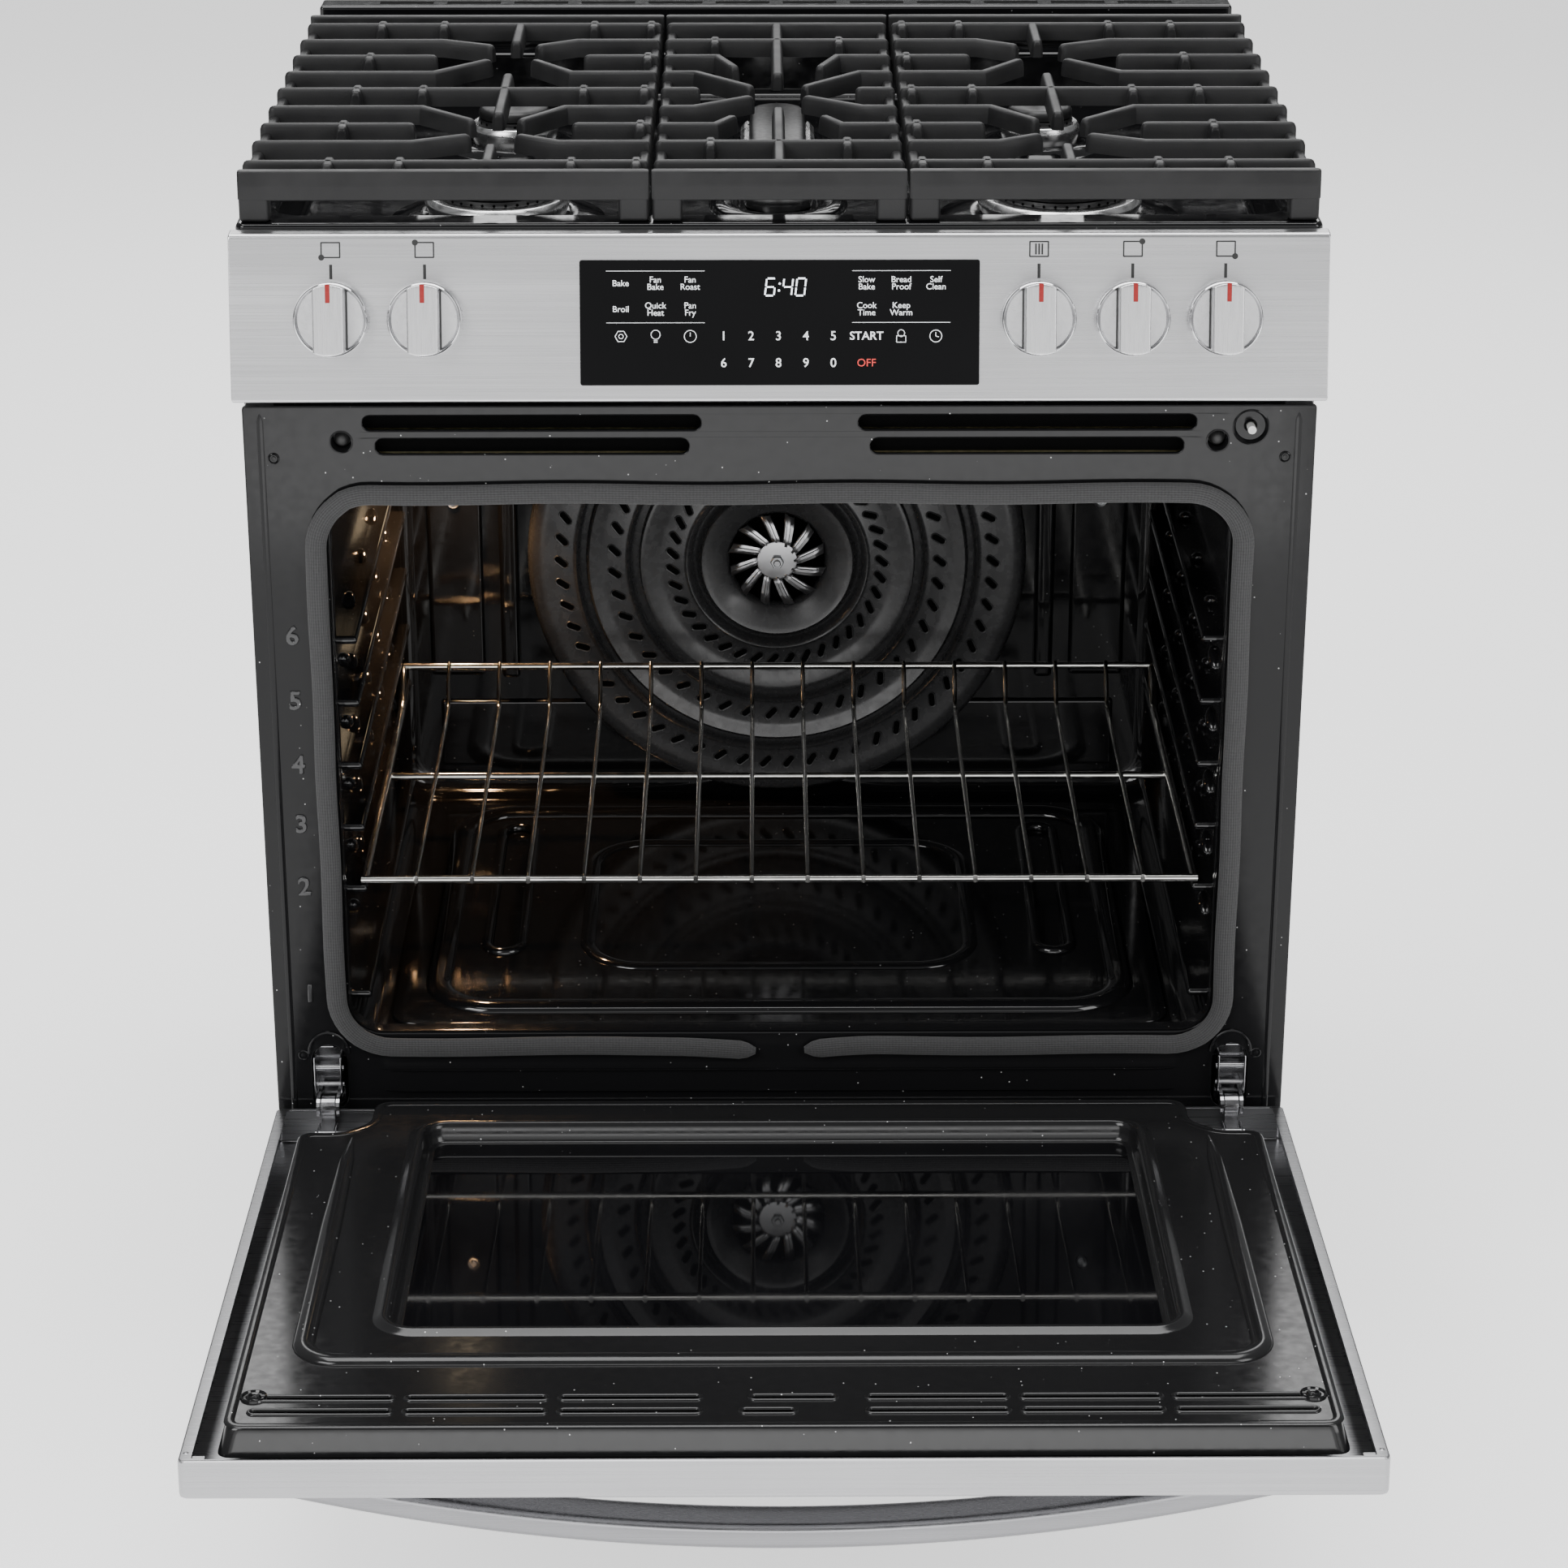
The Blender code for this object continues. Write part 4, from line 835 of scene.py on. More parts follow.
def fan_wheel():
    """The fan's bright wheel: twelve blades, each with a pressed rib, on a hub disc with a hexagon nut."""
    shape = bmesh.new()
    tilt = facing(0, 0, FAN_Z)
    for n in range(12):
        turn = tilt @ Matrix.Rotation(math.tau * n / 12, 4, "Z")
        rows = []
        for radius, half, lean, lift in ((0.014, 0.003, 0.0, -0.459), (0.02, 0.0036, 0.002, -0.459),
                                         (0.03, 0.0041, 0.0062, -0.4598),
                                         (0.0385, 0.0043, 0.0105, -0.4606)):
            rows.append([turn @ Vector((radius, lean + half * across, lift + rise)) for across, rise in
                         ((-1.0, -0.006), (-0.96, 0.0), (-0.35, 0.0002), (-0.2, 0.0012), (0.2, 0.0012),
                          (0.35, 0.0002), (1.0, 0.0))])
        add_loft(shape, rows, closed=False)
    wheel = finish_mesh("fan_blades", tidy(shape), "impeller", "fan", smooth=25, replaces=("fan_impeller",))
    sheet = wheel.modifiers.new("sheet", "SOLIDIFY")
    sheet.thickness = 0.0008
    hub = bmesh.new()
    add_turned(hub, [(0, -0.4575), (0.015, -0.4575), (0.0166, -0.4582), (0.017, -0.46), (0.017, -0.472),
                     (0.003, -0.472)], 48, tilt)
    add_turned(hub, [(0, -0.45), (0.0024, -0.45), (0.003, -0.4508), (0.003, -0.458)], 20, tilt)
    finish_mesh("fan_hub", tidy(hub), "impeller", "fan")
    turned_piece("fan_nut", [(0, -0.453), (0.005, -0.453), (0.0058, -0.4538), (0.0058, -0.4578)], 6, [tilt],
                 "zinc", "fan", smooth=20)
    shaft = bmesh.new()
    add_rod(shaft, (0, 0.472, FAN_Z), (0, 0.548, FAN_Z), 0.004)
    finish_mesh("fan_shaft", shaft, "zinc", "fan")


def oven_lamp():
    place = facing(-0.277, CAVITY_BACK - 0.0003, 0.64)
    turned_piece("lamp_glass_cover", [(0, 0.0205), (0.008, 0.02), (0.015, 0.017), (0.0195, 0.0115),
                                      (0.021, 0.004)], 36, [place], "lamp", smooth=60,
                 replaces=("oven_lamp",))
    turned_piece("lamp_ring", [(0.0205, 0.0042), (0.0215, 0.005), (0.024, 0.0046), (0.025, 0.003),
                               (0.025, 0.0)], 36, [place], "zinc")


def oven_rack():
    """Plated wires: a rail round the rack, a raised back, a brace and fourteen wires that end on top."""
    shape = bmesh.new()
    front, back, lift = 0.03, 0.397, 0.029
    rail, wire = ellipse(0.006, 0.006, 14), ellipse(0.0036, 0.0036, 10)
    rising = [(t, t * t * (3 - 2 * t)) for t in (0.25, 0.5, 0.75, 1.0)]
    for x in (-0.3085, 0.3085):
        path = [(x, front, RACK_Z), (x, 0.2, RACK_Z), (x, back - 0.03, RACK_Z)]
        path += [(x, back - 0.03 + 0.03 * t, RACK_Z + lift * rise) for t, rise in rising]
        add_sweep(shape, path, rail)
    for y, z, reach in ((front, RACK_Z, 0.3112), (back, RACK_Z + lift, 0.3112),
                        (0.241, RACK_Z - 0.0045, 0.306)):
        add_sweep(shape, [(reach * part, y, z) for part in (-1, -0.5, 0, 0.5, 1)], rail)
    on_top = RACK_Z + 0.0012
    for n in range(14):
        x = (n - 6.5) * 0.0416
        path = [(x, front - 0.003, RACK_Z - 0.0005), (x, front - 0.0028, RACK_Z + 0.0022),
                (x, front + 0.004, RACK_Z + 0.003), (x, 0.12, on_top), (x, 0.24, on_top),
                (x, back - 0.032, on_top)]
        path += [(x, back - 0.032 + 0.03 * t, on_top + 0.031 * rise) for t, rise in rising]
        add_sweep(shape, path, wire)
    finish_mesh("rack_wires", outward(shape), "wire", "rack", smooth=60, replaces=("oven_rack",))


# ---------------------------------------------------------------- control panel
def control_panel():
    """The sloped steel panel with rounded edges, and its glass."""
    (y0, z0), (y1, z1) = PANEL_LOW, PANEL_TOP
    section = rounded_polygon([(0.012, z0), (0.012, z1), (y1, z1), (y0, z0)],
                              [0.001, 0.001, 0.0035, 0.003], 6)
    middle = Vector((-0.006, (z0 + z1) / 2))
    shape = bmesh.new()
    rings = []
    for x, shrink in eased_ends(0.381):
        ring = []
        for point in section:
            toward = (middle - Vector(point)).normalized() * shrink
            ring.append(Vector((x, point[0] + toward.x, point[1] + toward.y)))
        rings.append(ring)
    add_solid(shape, rings)
    finish_mesh("panel_shell", outward(shape), "panel_steel", replaces=("control_panel",))
    glass_area = (-0.1384, 0.0123, 0.1384, 0.0987)
    curve_plate("panel_glass", [rounded(*glass_area, 0.0016, 4)], "XZ", -0.0019, -0.0003, 0.0004,
                "control_glass", matrix=FACE, replaces=("control_glass",))


def seven_segments(shape, digit, left, low, width, height):
    """One lit digit, drawn as bars that lean a little."""
    on = {"0": "abcdef", "4": "bcfg", "6": "acdefg"}[digit]
    thick, lean = 0.0011, 0.12
    half = height / 2
    bars = {"a": ((0.0008, height), (width - 0.0008, height)),
            "b": ((width, half + 0.0006), (width, height - 0.0006)),
            "c": ((width, 0.0006), (width, half - 0.0006)), "d": ((0.0008, 0), (width - 0.0008, 0)),
            "e": ((0, 0.0006), (0, half - 0.0006)), "f": ((0, half + 0.0006), (0, height - 0.0006)),
            "g": ((0.0008, half), (width - 0.0008, half))}
    for key in on:
        add_strip(shape, *[(left + x + v * lean, 0, low + v) for x, v in bars[key]], thick)


def add_strip(shape, start, end, width, depth=PRINT_Y):
    """A flat printed line in the XZ plane."""
    start, end = Vector(start), Vector(end)
    along = (end - start).normalized()
    side = Vector((-along.z, 0, along.x)) * width / 2
    reach = along * width * 0.15
    corners = [start - reach - side, end + reach - side, end + reach + side, start - reach + side]
    add_solid(shape, [[Vector((c.x, y, c.z)) for c in corners] for y in (depth, depth + PRINT_THICK)])


def add_square(shape, across, up, half_wide, half_high, width, depth=PRINT_Y):
    """The outline of a box, drawn with four lines."""
    for x0, z0, x1, z1 in ((-1, 1, 1, 1), (1, 1, 1, -1), (1, -1, -1, -1), (-1, -1, -1, 1)):
        add_strip(shape, (across + x0 * half_wide, 0, up + z0 * half_high),
                  (across + x1 * half_wide, 0, up + z1 * half_high), width, depth)


def add_disc(shape, across, up, radius, depth=PRINT_Y, inner=0.0, sides=24):
    turns = [math.tau * n / sides for n in range(sides)]
    outer = [Vector((across + radius * math.cos(a), depth, up + radius * math.sin(a))) for a in turns]
    back = [Vector((p.x, depth + PRINT_THICK, p.z)) for p in outer]
    if inner:
        hole = [Vector((across + (p.x - across) * inner / radius, depth, up + (p.z - up) * inner / radius))
                for p in outer]
        add_loft(shape, [hole, outer, back])
    else:
        add_loft(shape, [outer, back], cap_first=True)


def glass_words():
    """Generic function words, a number pad, START and OFF."""
    labels = {TOP_ROW: (("Bake", "Fan\nBake", "Fan\nRoast"), ("Slow\nBake", "Bread\nProof", "Self\nClean")),
              LOW_ROW: (("Broil", "Quick\nHeat", "Pan\nFry"), ("Cook\nTime", "Keep\nWarm", ""))}
    for row, groups in labels.items():
        for columns, words in zip((LEFT_COLUMNS, RIGHT_COLUMNS), groups):
            for x, word in zip(columns, words):
                if word:
                    name = word.lower().replace("\n", "_")
                    add_text(word, 0.006, x, row, PRINT_FACE, "print_white_glow", f"print_{name}", bold=0.00004)
    for row, keys in ((SYMBOL_ROW, "12345"), (LAST_ROW, "67890")):
        for n, key in enumerate(keys):
            add_text(key, 0.0088, PRINT_X - 0.0401 + n * 0.019, row, PRINT_FACE, "print_white_glow",
                     f"print_key_{key}", bold=0.00008)
    add_text("START", 0.008, RIGHT_COLUMNS[0], SYMBOL_ROW, PRINT_FACE, "print_white_glow", "print_start",
             bold=0.00012)
    add_text("OFF", 0.0076, RIGHT_COLUMNS[0], LAST_ROW, PRINT_FACE, "print_red_glow", "print_off")


def glass_symbols():
    """Fine rules, and the signs for settings, lamp, timer, lock and clock."""
    marks = bmesh.new()
    for columns in (LEFT_COLUMNS, RIGHT_COLUMNS):
        for row in (0.0912, 0.0556):
            add_strip(marks, (columns[0] - 0.01, 0, row), (columns[2] + 0.01, 0, row), 0.00035)
    gear, bulb, timer = LEFT_COLUMNS
    lock, clock = RIGHT_COLUMNS[1:]
    line, z = 0.0005, SYMBOL_ROW
    add_disc(marks, gear, z, 0.0044, inner=0.0038, sides=6)
    add_disc(marks, gear, z, 0.0018, inner=0.0013)
    add_disc(marks, bulb, z + 0.0012, 0.0034, inner=0.0029)
    for rise in (-0.003, -0.0041):
        add_strip(marks, (bulb - 0.0012, 0, z + rise), (bulb + 0.0012, 0, z + rise), line)
    for x in (timer, clock):
        add_disc(marks, x, z, 0.0044, inner=0.0039)
        add_strip(marks, (x, 0, z), (x, 0, z + 0.0026), line)
    add_strip(marks, (clock, 0, z), (clock + 0.002, 0, z - 0.0006), line)
    add_disc(marks, lock, z + 0.002, 0.0026, inner=0.0021)
    add_square(marks, lock, z - 0.002, 0.0032, 0.0022, line)
    finish_mesh("print_symbols", outward(marks), "print_white_glow", matrix=FACE, smooth=0)


def clock_figures():
    shown = bmesh.new()
    low = 0.0742
    for digit, x in zip("640", (-0.0115, 0.0005, 0.0095)):
        seven_segments(shown, digit, PRINT_X + x, low, 0.0062, 0.0118)
    for rise in (0.0035, 0.0082):
        add_disc(shown, PRINT_X - 0.0022 + rise * 0.12, low + rise, 0.0008)
    finish_mesh("clock_figures", outward(shown), "digits", matrix=FACE, smooth=0)


def knob_marks():
    """Over each knob: a tick, and a square with a dot that tells which burner it is."""
    corner = {"left_front": (-1, -1), "left_rear": (-1, 1), "right_rear": (1, 1), "right_front": (1, -1)}
    half_wide, half_high = 0.0064, 0.0051
    on_steel, on_square = -0.0002, -0.0003
    v = KNOB_V + 0.0475
    marks = bmesh.new()
    for name, x in KNOB_X.items():
        add_strip(marks, (x, 0, KNOB_V + 0.0278), (x, 0, KNOB_V + 0.0372), 0.0021, on_steel)
        add_square(marks, x, v, half_wide, half_high, 0.001, on_steel)
        if name in corner:
            side, rise = corner[name]
            add_disc(marks, x + side * half_wide, v + rise * half_high, 0.0021, on_square)
        else:
            for step in (-0.0022, 0, 0.0022):
                add_strip(marks, (x + step, 0, v - 0.0036), (x + step, 0, v + 0.0036), 0.0012, on_square)
    finish_mesh("burner_marks", outward(marks), "dark_print_and_gap_shade", matrix=FACE, smooth=0)


def knob_outline(half=0.0107, radius=0.0246, steps=10):
    """The grip bar: two arcs of the knob's circle joined by straight sides."""
    reach = math.acos(half / radius)
    sweep = math.pi - 2 * reach
    angles = [first + sweep * n / steps for first in (reach, math.pi + reach) for n in range(steps + 1)]
    return [(radius * math.cos(a), radius * math.sin(a)) for a in angles]


def knobs():
    """Each knob: a bright ring, a recessed silver disc, a brushed grip across it and a red pointer."""
    turn = [facing(0, 0, 0)]
    for name, x in KNOB_X.items():
        place = FACE @ Matrix.Translation((x, 0, KNOB_V))
        body = f"dial_{name}"
        turned_piece(f"knob_ring_{name}", [
            (0.0045, 0.0036), (0.0235, 0.0036), (0.025, 0.004), (0.0258, 0.0052), (0.026, 0.0068),
            (0.0259, 0.01), (0.0255, 0.0115), (0.0247, 0.0121), (0.024, 0.0118), (0.0236, 0.0108)],
            72, turn, "chrome", body, place, 50, (f"knob_{name}",))
        turned_piece(f"knob_disc_{name}", [(0.0237, 0.011), (0.0231, 0.0096), (0.0226, 0.0092),
                                           (0.0, 0.0092)], 72, turn, "silver", body, place, 50)
        curve_plate(f"knob_grip_{name}", [knob_outline()], "XZ", -0.0265, -0.0085, 0.0011, "knob_steel",
                    body, place)
        block_piece(f"knob_pointer_{name}", [((-0.0017, -0.02678, 0.0122), (0.0017, -0.016, 0.02485))],
                    0.0004, "red", body, place)
        # Dark strips along both sides of the grip: painted shade in the gap between the grip and the disc.
        gaps = [sorted((side * 0.0108, side * 0.0119)) for side in SIDES]
        block_piece(f"knob_gap_shade_{name}", [((low, -0.01, -0.0205), (high, -0.009, 0.0205))
                                         for low, high in gaps], 0.0003, "dark_print_and_gap_shade", body, place)
    repaint("brass", *[f"valve_stem_{name}" for name in KNOB_X])


# ---------------------------------------------------------------- cooktop
def cooktop():
    """The recessed enamel top, pressed from one sheet, with raised seats round the burners."""
    deck = (-0.3778, 0.0125, 0.3778, 0.5745)
    basin = (-0.352, 0.04, 0.352, 0.552)
    shape = bmesh.new()
    rows = [(deck, 0.0, 0.006, 0.853), (deck, 0.0, 0.006, DECK_Z - 0.003),
            (deck, -0.0009, 0.006, DECK_Z - 0.0009), (deck, -0.003, 0.005, DECK_Z),
            (basin, 0.004, 0.024, DECK_Z), (basin, 0.0012, 0.021, DECK_Z - 0.0012),
            (basin, 0.0, 0.02, DECK_Z - 0.004), (basin, -0.004, 0.018, BASIN_Z + 0.006),
            (basin, -0.0058, 0.017, BASIN_Z + 0.0018), (basin, -0.01, 0.016, BASIN_Z),
            (basin, -0.06, 0.01, BASIN_Z)]
    add_loft(shape,
             stacked(((rounded(*grown(area, margin), radius), z) for area, margin, radius, z in rows),
                     "XY"), cap_last=True)
    outward(shape)
    for x, y, radius in BURNERS.values():
        wide = max(radius * 1.35, radius + 0.016)
        add_turned(shape, [(wide * 0.62, 0.0012), (wide * 0.72, 0.0044), (wide * 0.8, 0.0052),
                           (wide * 0.92, 0.004), (wide * 1.02, 0.0016), (wide * 1.1, -0.0002)], 64,
                   Matrix.Translation((x, y, BASIN_Z)))
    seat = in_plane(stadium(-0.04, OVAL_Y - 0.132, 0.04, OVAL_Y + 0.132, 14), "XY", BASIN_Z - 0.0002)
    add_sweep(shape, seat, arch(0.022, 0.0046), closed=True)
    finish_mesh("cooktop_pan", shape, "cooktop_enamel", smooth=50, replaces=("cooktop",))
    block_piece("rear_vent_trim", [((-0.373, 0.5748, 0.853), (0.373, 0.6032, 0.9225))], 0.003,
                "cooktop_enamel", segments=4, replaces=("rear_trim",))
    # The rear trim's vent slots are thin dark strips on its top: painted shade.
    slots = [(n - 5.5) * 0.055 for n in range(12)]
    block_piece("rear_vent_slot_shade", [((x - 0.022, 0.585, 0.9205), (x + 0.022, 0.593, 0.92265))
                                    for x in slots], 0.0001, "port", smooth=0)


def burners():
    """Bright rings, ported heads and matt caps."""
    foot = 0.8553 - BURNER_LIFT
    upright = [Matrix.Identity(4)]
    for name, (x, y, radius) in BURNERS.items():
        place = RANGE @ Matrix.Translation((x, y, BURNER_LIFT))
        turned_piece(f"burner_ring_{name}", [
            (radius * 0.8, 0.8665), (radius * 0.925, 0.8673), (radius * 0.955, 0.8666),
            (radius * 0.995, 0.8636),
            (radius, 0.8622), (radius * 0.99, 0.8606), (radius * 0.92, foot), (radius * 0.6, foot - 0.0003),
            (radius * 0.3, foot - 0.0005)], 72, upright, "aluminium", matrix=place, smooth=40,
            replaces=(f"burner_base_{name}",))
        turned_piece(f"burner_head_{name}", [
            (radius * 0.6, 0.855), (radius * 0.8, 0.866), (radius * 0.815, 0.869), (radius * 0.8, 0.8711),
            (radius * 0.5, 0.8712)], 64, upright, "cap", matrix=place)
        turned_piece(f"burner_lid_{name}", [
            (0, 0.88), (radius * 0.6, 0.8799), (radius * 0.7, 0.8796), (radius * 0.765, 0.8785),
            (radius * 0.795, 0.8768), (radius * 0.8, 0.8745), (radius * 0.795, 0.8722),
            (radius * 0.76, 0.8714),
            (0, 0.8714)], 72, upright, "cap", matrix=place, smooth=40, replaces=(f"burner_cap_{name}",))
        # The ports are dark rods set in the head: painted shade in each hole.
        ports = bmesh.new()
        count = int(radius * 620)
        high = Vector((0, 0, PORT_Z))
        for n in range(count):
            angle = math.tau * n / count
            out = Vector((math.cos(angle), math.sin(angle), 0)) * radius
            add_rod(ports, out * 0.79 + high, out * 0.8195 + high, 0.0011, 8)
        finish_mesh(f"burner_ports_{name}", ports, "port", matrix=place)


def oval(margin):
    return stadium(-OVAL_WIDTH - margin, OVAL_Y - OVAL_LENGTH - margin, OVAL_WIDTH + margin,
                   OVAL_Y + OVAL_LENGTH + margin, 14)


def middle_burner():
    """An oval burner of the same make as the round ones."""
    lifted = RANGE @ Matrix.Translation((0, 0, BURNER_LIFT))
    foot = 0.8553 - BURNER_LIFT
    for part, material, replaces, solid, angle, rows in (
            ("ring", "aluminium", ("burner_base_centre",), False, 40,
             ((-0.009, 0.8665), (-0.004, 0.8673), (-0.0026, 0.8666), (-0.0003, 0.8636), (0.0, 0.8622),
              (-0.0006, 0.8606), (-0.004, foot), (-0.012, foot - 0.0003))),
            ("head", "cap", (), False, 35, ((-0.012, 0.855), (-0.0072, 0.866), (-0.0068, 0.869),
                                        (-0.0074, 0.8712))),
            ("lid", "cap", ("burner_cap_centre",), True, 40,
             ((-0.0085, 0.8714), (-0.0076, 0.8722), (-0.0075, 0.875), (-0.008, 0.8772), (-0.01, 0.879),
              (-0.0135, 0.8798), (-0.02, 0.88)))):
        shape = bmesh.new()
        add_loft(shape, stacked(((oval(margin), z) for margin, z in rows), "XY"), solid, solid)
        finish_mesh(f"burner_{part}_centre", tidy(shape), material, matrix=lifted, smooth=angle,
                    replaces=replaces)
    # The ports are dark rods set in the head: painted shade in each hole.
    ports = bmesh.new()
    for x, y in oval(-0.0066)[::2]:
        round_end = abs(y - OVAL_Y) > OVAL_LENGTH - OVAL_WIDTH
        toward = Vector((-x, OVAL_Y - y if round_end else 0, 0)).normalized()
        start = Vector((x, y, 0.869)) - toward * 0.0003
        add_rod(ports, start, start + toward * 0.002, 0.0011, 8)
    finish_mesh("burner_ports_centre", ports, "port", matrix=lifted)


def add_cast(shape, points, top=GRATE_TOP, width=0.0084, height=0.0135, round_ends=True):
    """A cast bar along (x, y) points: flat-topped, a little wider below, with round edges and ends."""
    crown, foot = width / 2 * 0.84, width / 2 * 1.05
    low = top - height
    half = [(-foot, 0.0), (-foot * 0.98, height * 0.45), (-crown, height - 0.0024),
            (-crown * 0.8, height - 0.0009), (-crown * 0.45, height - 0.0001)]
    section = half + [(-s, h) for s, h in reversed(half)]
    tips = [(0.0, 0.62, 0.74), (0.001, 0.8, 0.9), (0.0026, 0.95, 0.975), (0.0048, 1.0, 1.0)]
    if not round_ends:
        tips = [(0.0, 1.0, 1.0)]
    path = [Vector((x, y, 0)) for x, y in points]
    stations = []
    for index, point in enumerate(path):
        before = path[index - 1] if index else None
        after = path[index + 1] if index < len(path) - 1 else None
        if before is None or after is None:
            along = ((after or point) - (before or point)).normalized()
            outside = -along if before is None else along
            rows = [(point - outside * back, along, wide, high) for back, wide, high in tips]
            stations += rows if before is None else rows[::-1]
        else:
            along = ((point - before).normalized() + (after - point).normalized()).normalized()
            stretch = 1 / max(0.7, along.dot((point - before).normalized()))
            stations.append((point, along, stretch, 1.0))
    rings = []
    for place, along, wide, high in stations:
        side = Vector((along.y, -along.x, 0))
        rings.append([place + side * s * wide + UP * (low + h * high) for s, h in section])
    add_solid(shape, rings)


def add_stub(shape, x, y):
    """A short thick bar from front to back, across a finger of a grate."""
    add_cast(shape, [(x, y - STUB), (x, y + STUB)], width=THICK_BAR)


def side_grate(shape, outer, inner, middle):
    """A side grate's bars, as in its CAD solid. outer and inner are its edges, middle the burners' X."""
    away = 1 if outer < middle else -1
    stubs = [middle - away * 0.1105, middle - away * 0.061, middle + away * 0.059, middle + away * 0.1045]
    for y in ROWS[::4]:
        add_cast(shape, [(outer, y), (inner, y)])
        for x in stubs:
            add_stub(shape, x, y)
    for y, lean in zip(ROWS[1::2], (0.021, -0.044, 0.044, -0.021)):
        add_cast(shape, [(outer, y), (middle - away * 0.057, y), (middle - away * 0.0165, y + lean)])
        add_cast(shape, [(inner, y), (middle + away * 0.048, y), (middle + away * 0.0165, y + lean)])
    for y in ROWS[2::4]:
        add_cast(shape, [(outer, y), (middle - away * 0.058, y)])
        add_cast(shape, [(inner, y), (middle + away * 0.055, y)])
        add_stub(shape, stubs[0], y)
        add_stub(shape, stubs[3], y)
    for start, end in ((ROWS[0] - 0.004, 0.1), (0.19, 0.323), (0.431, ROWS[8] + 0.004)):
        add_cast(shape, [(middle, start), (middle, end)], width=THICK_BAR)


def centre_grate(shape, edge):
    for row in (0, 1, 7, 8):
        y = ROWS[row]
        add_cast(shape, [(-edge, y), (edge, y)])
        if row in (1, 7):
            for x in (-0.0487, 0.0487):
                add_stub(shape, x, y)
    for side in SIDES:
        for row, near, far, tip in ((2, 0.046, 0.032, 0.026), (3, 0.062, 0.019, 0.033),
                                    (5, 0.062, 0.019, -0.05), (6, 0.046, 0.032, -0.04)):
            y = ROWS[row]
            add_cast(shape, [(side * edge, y), (side * near, y), (side * far, y + tip)])
        add_cast(shape, [(side * edge, ROWS[4]), (side * 0.058, ROWS[4])])
    for start, end in ((ROWS[0] - 0.004, 0.212), (0.318, ROWS[8] + 0.004)):
        add_cast(shape, [(0, start), (0, end)], width=THICK_BAR)


def add_rail(shape, near, far, left, right):
    """A grate's front or back rail: a sloped section run across it, pinched a little at both ends."""
    low, slope = GRATE_TOP - 0.0205, 0.0016
    rail = rounded_polygon([(far, low), (far, GRATE_TOP), (near + slope, GRATE_TOP),
                            (near, GRATE_TOP - 0.01), (near, low)], [0.0012, 0.002, 0.0018, 0.0015, 0.0012],
                           4)
    if near > GRATE_FRONT:
        rail = [(near + far - y, z) for y, z in rail][::-1]
    middle = Vector((0.5 * (near + far), GRATE_TOP - 0.01))
    rings = [[Vector((x, y + (middle.x - y) * pinch, z + (middle.y - z) * pinch * 0.3)) for y, z in rail]
             for x, pinch in ((left, 0.22), (left + 0.001, 0.07), (left + 0.003, 0.0), (right - 0.003, 0.0),
                              (right - 0.001, 0.07), (right, 0.22))]
    add_solid(shape, rings)


def grates():
    """Three loose cast grates. Their side rails sit a little lower than the bars that cross them."""
    for name, (left, right) in GRATES.items():
        shape = bmesh.new()
        add_rail(shape, GRATE_FRONT, GRATE_FRONT + 0.01, left, right)
        add_rail(shape, GRATE_BACK - 0.0095, GRATE_BACK, left, right)
        for x in (left + 0.005, right - 0.005):
            add_cast(shape, [(x, GRATE_FRONT + 0.004), (x, GRATE_BACK - 0.004)], GRATE_TOP - 0.007, 0.0086,
                     0.0125, round_ends=False)
        for x in (left + 0.0002, right - 0.0212):
            for y, deep in ((GRATE_FRONT + 0.0002, 0.0165), (GRATE_BACK - 0.0147, 0.0145)):
                add_block(shape, (x, y, DECK_Z + 0.0003), (x + 0.021, y + deep, GRATE_TOP - 0.01), 0.0028,
                          3)
        if name == "centre":
            centre_grate(shape, right - 0.0008)
        elif name == "left":
            side_grate(shape, left + 0.0004, right - 0.0008, -BURNER_X)
        else:
            side_grate(shape, right - 0.0004, left + 0.0008, BURNER_X)
        finish_mesh(f"cast_grate_{name}", outward(shape), "cast_iron", f"grate_{name}_body", smooth=42,
                    replaces=(f"grate_{name}",))


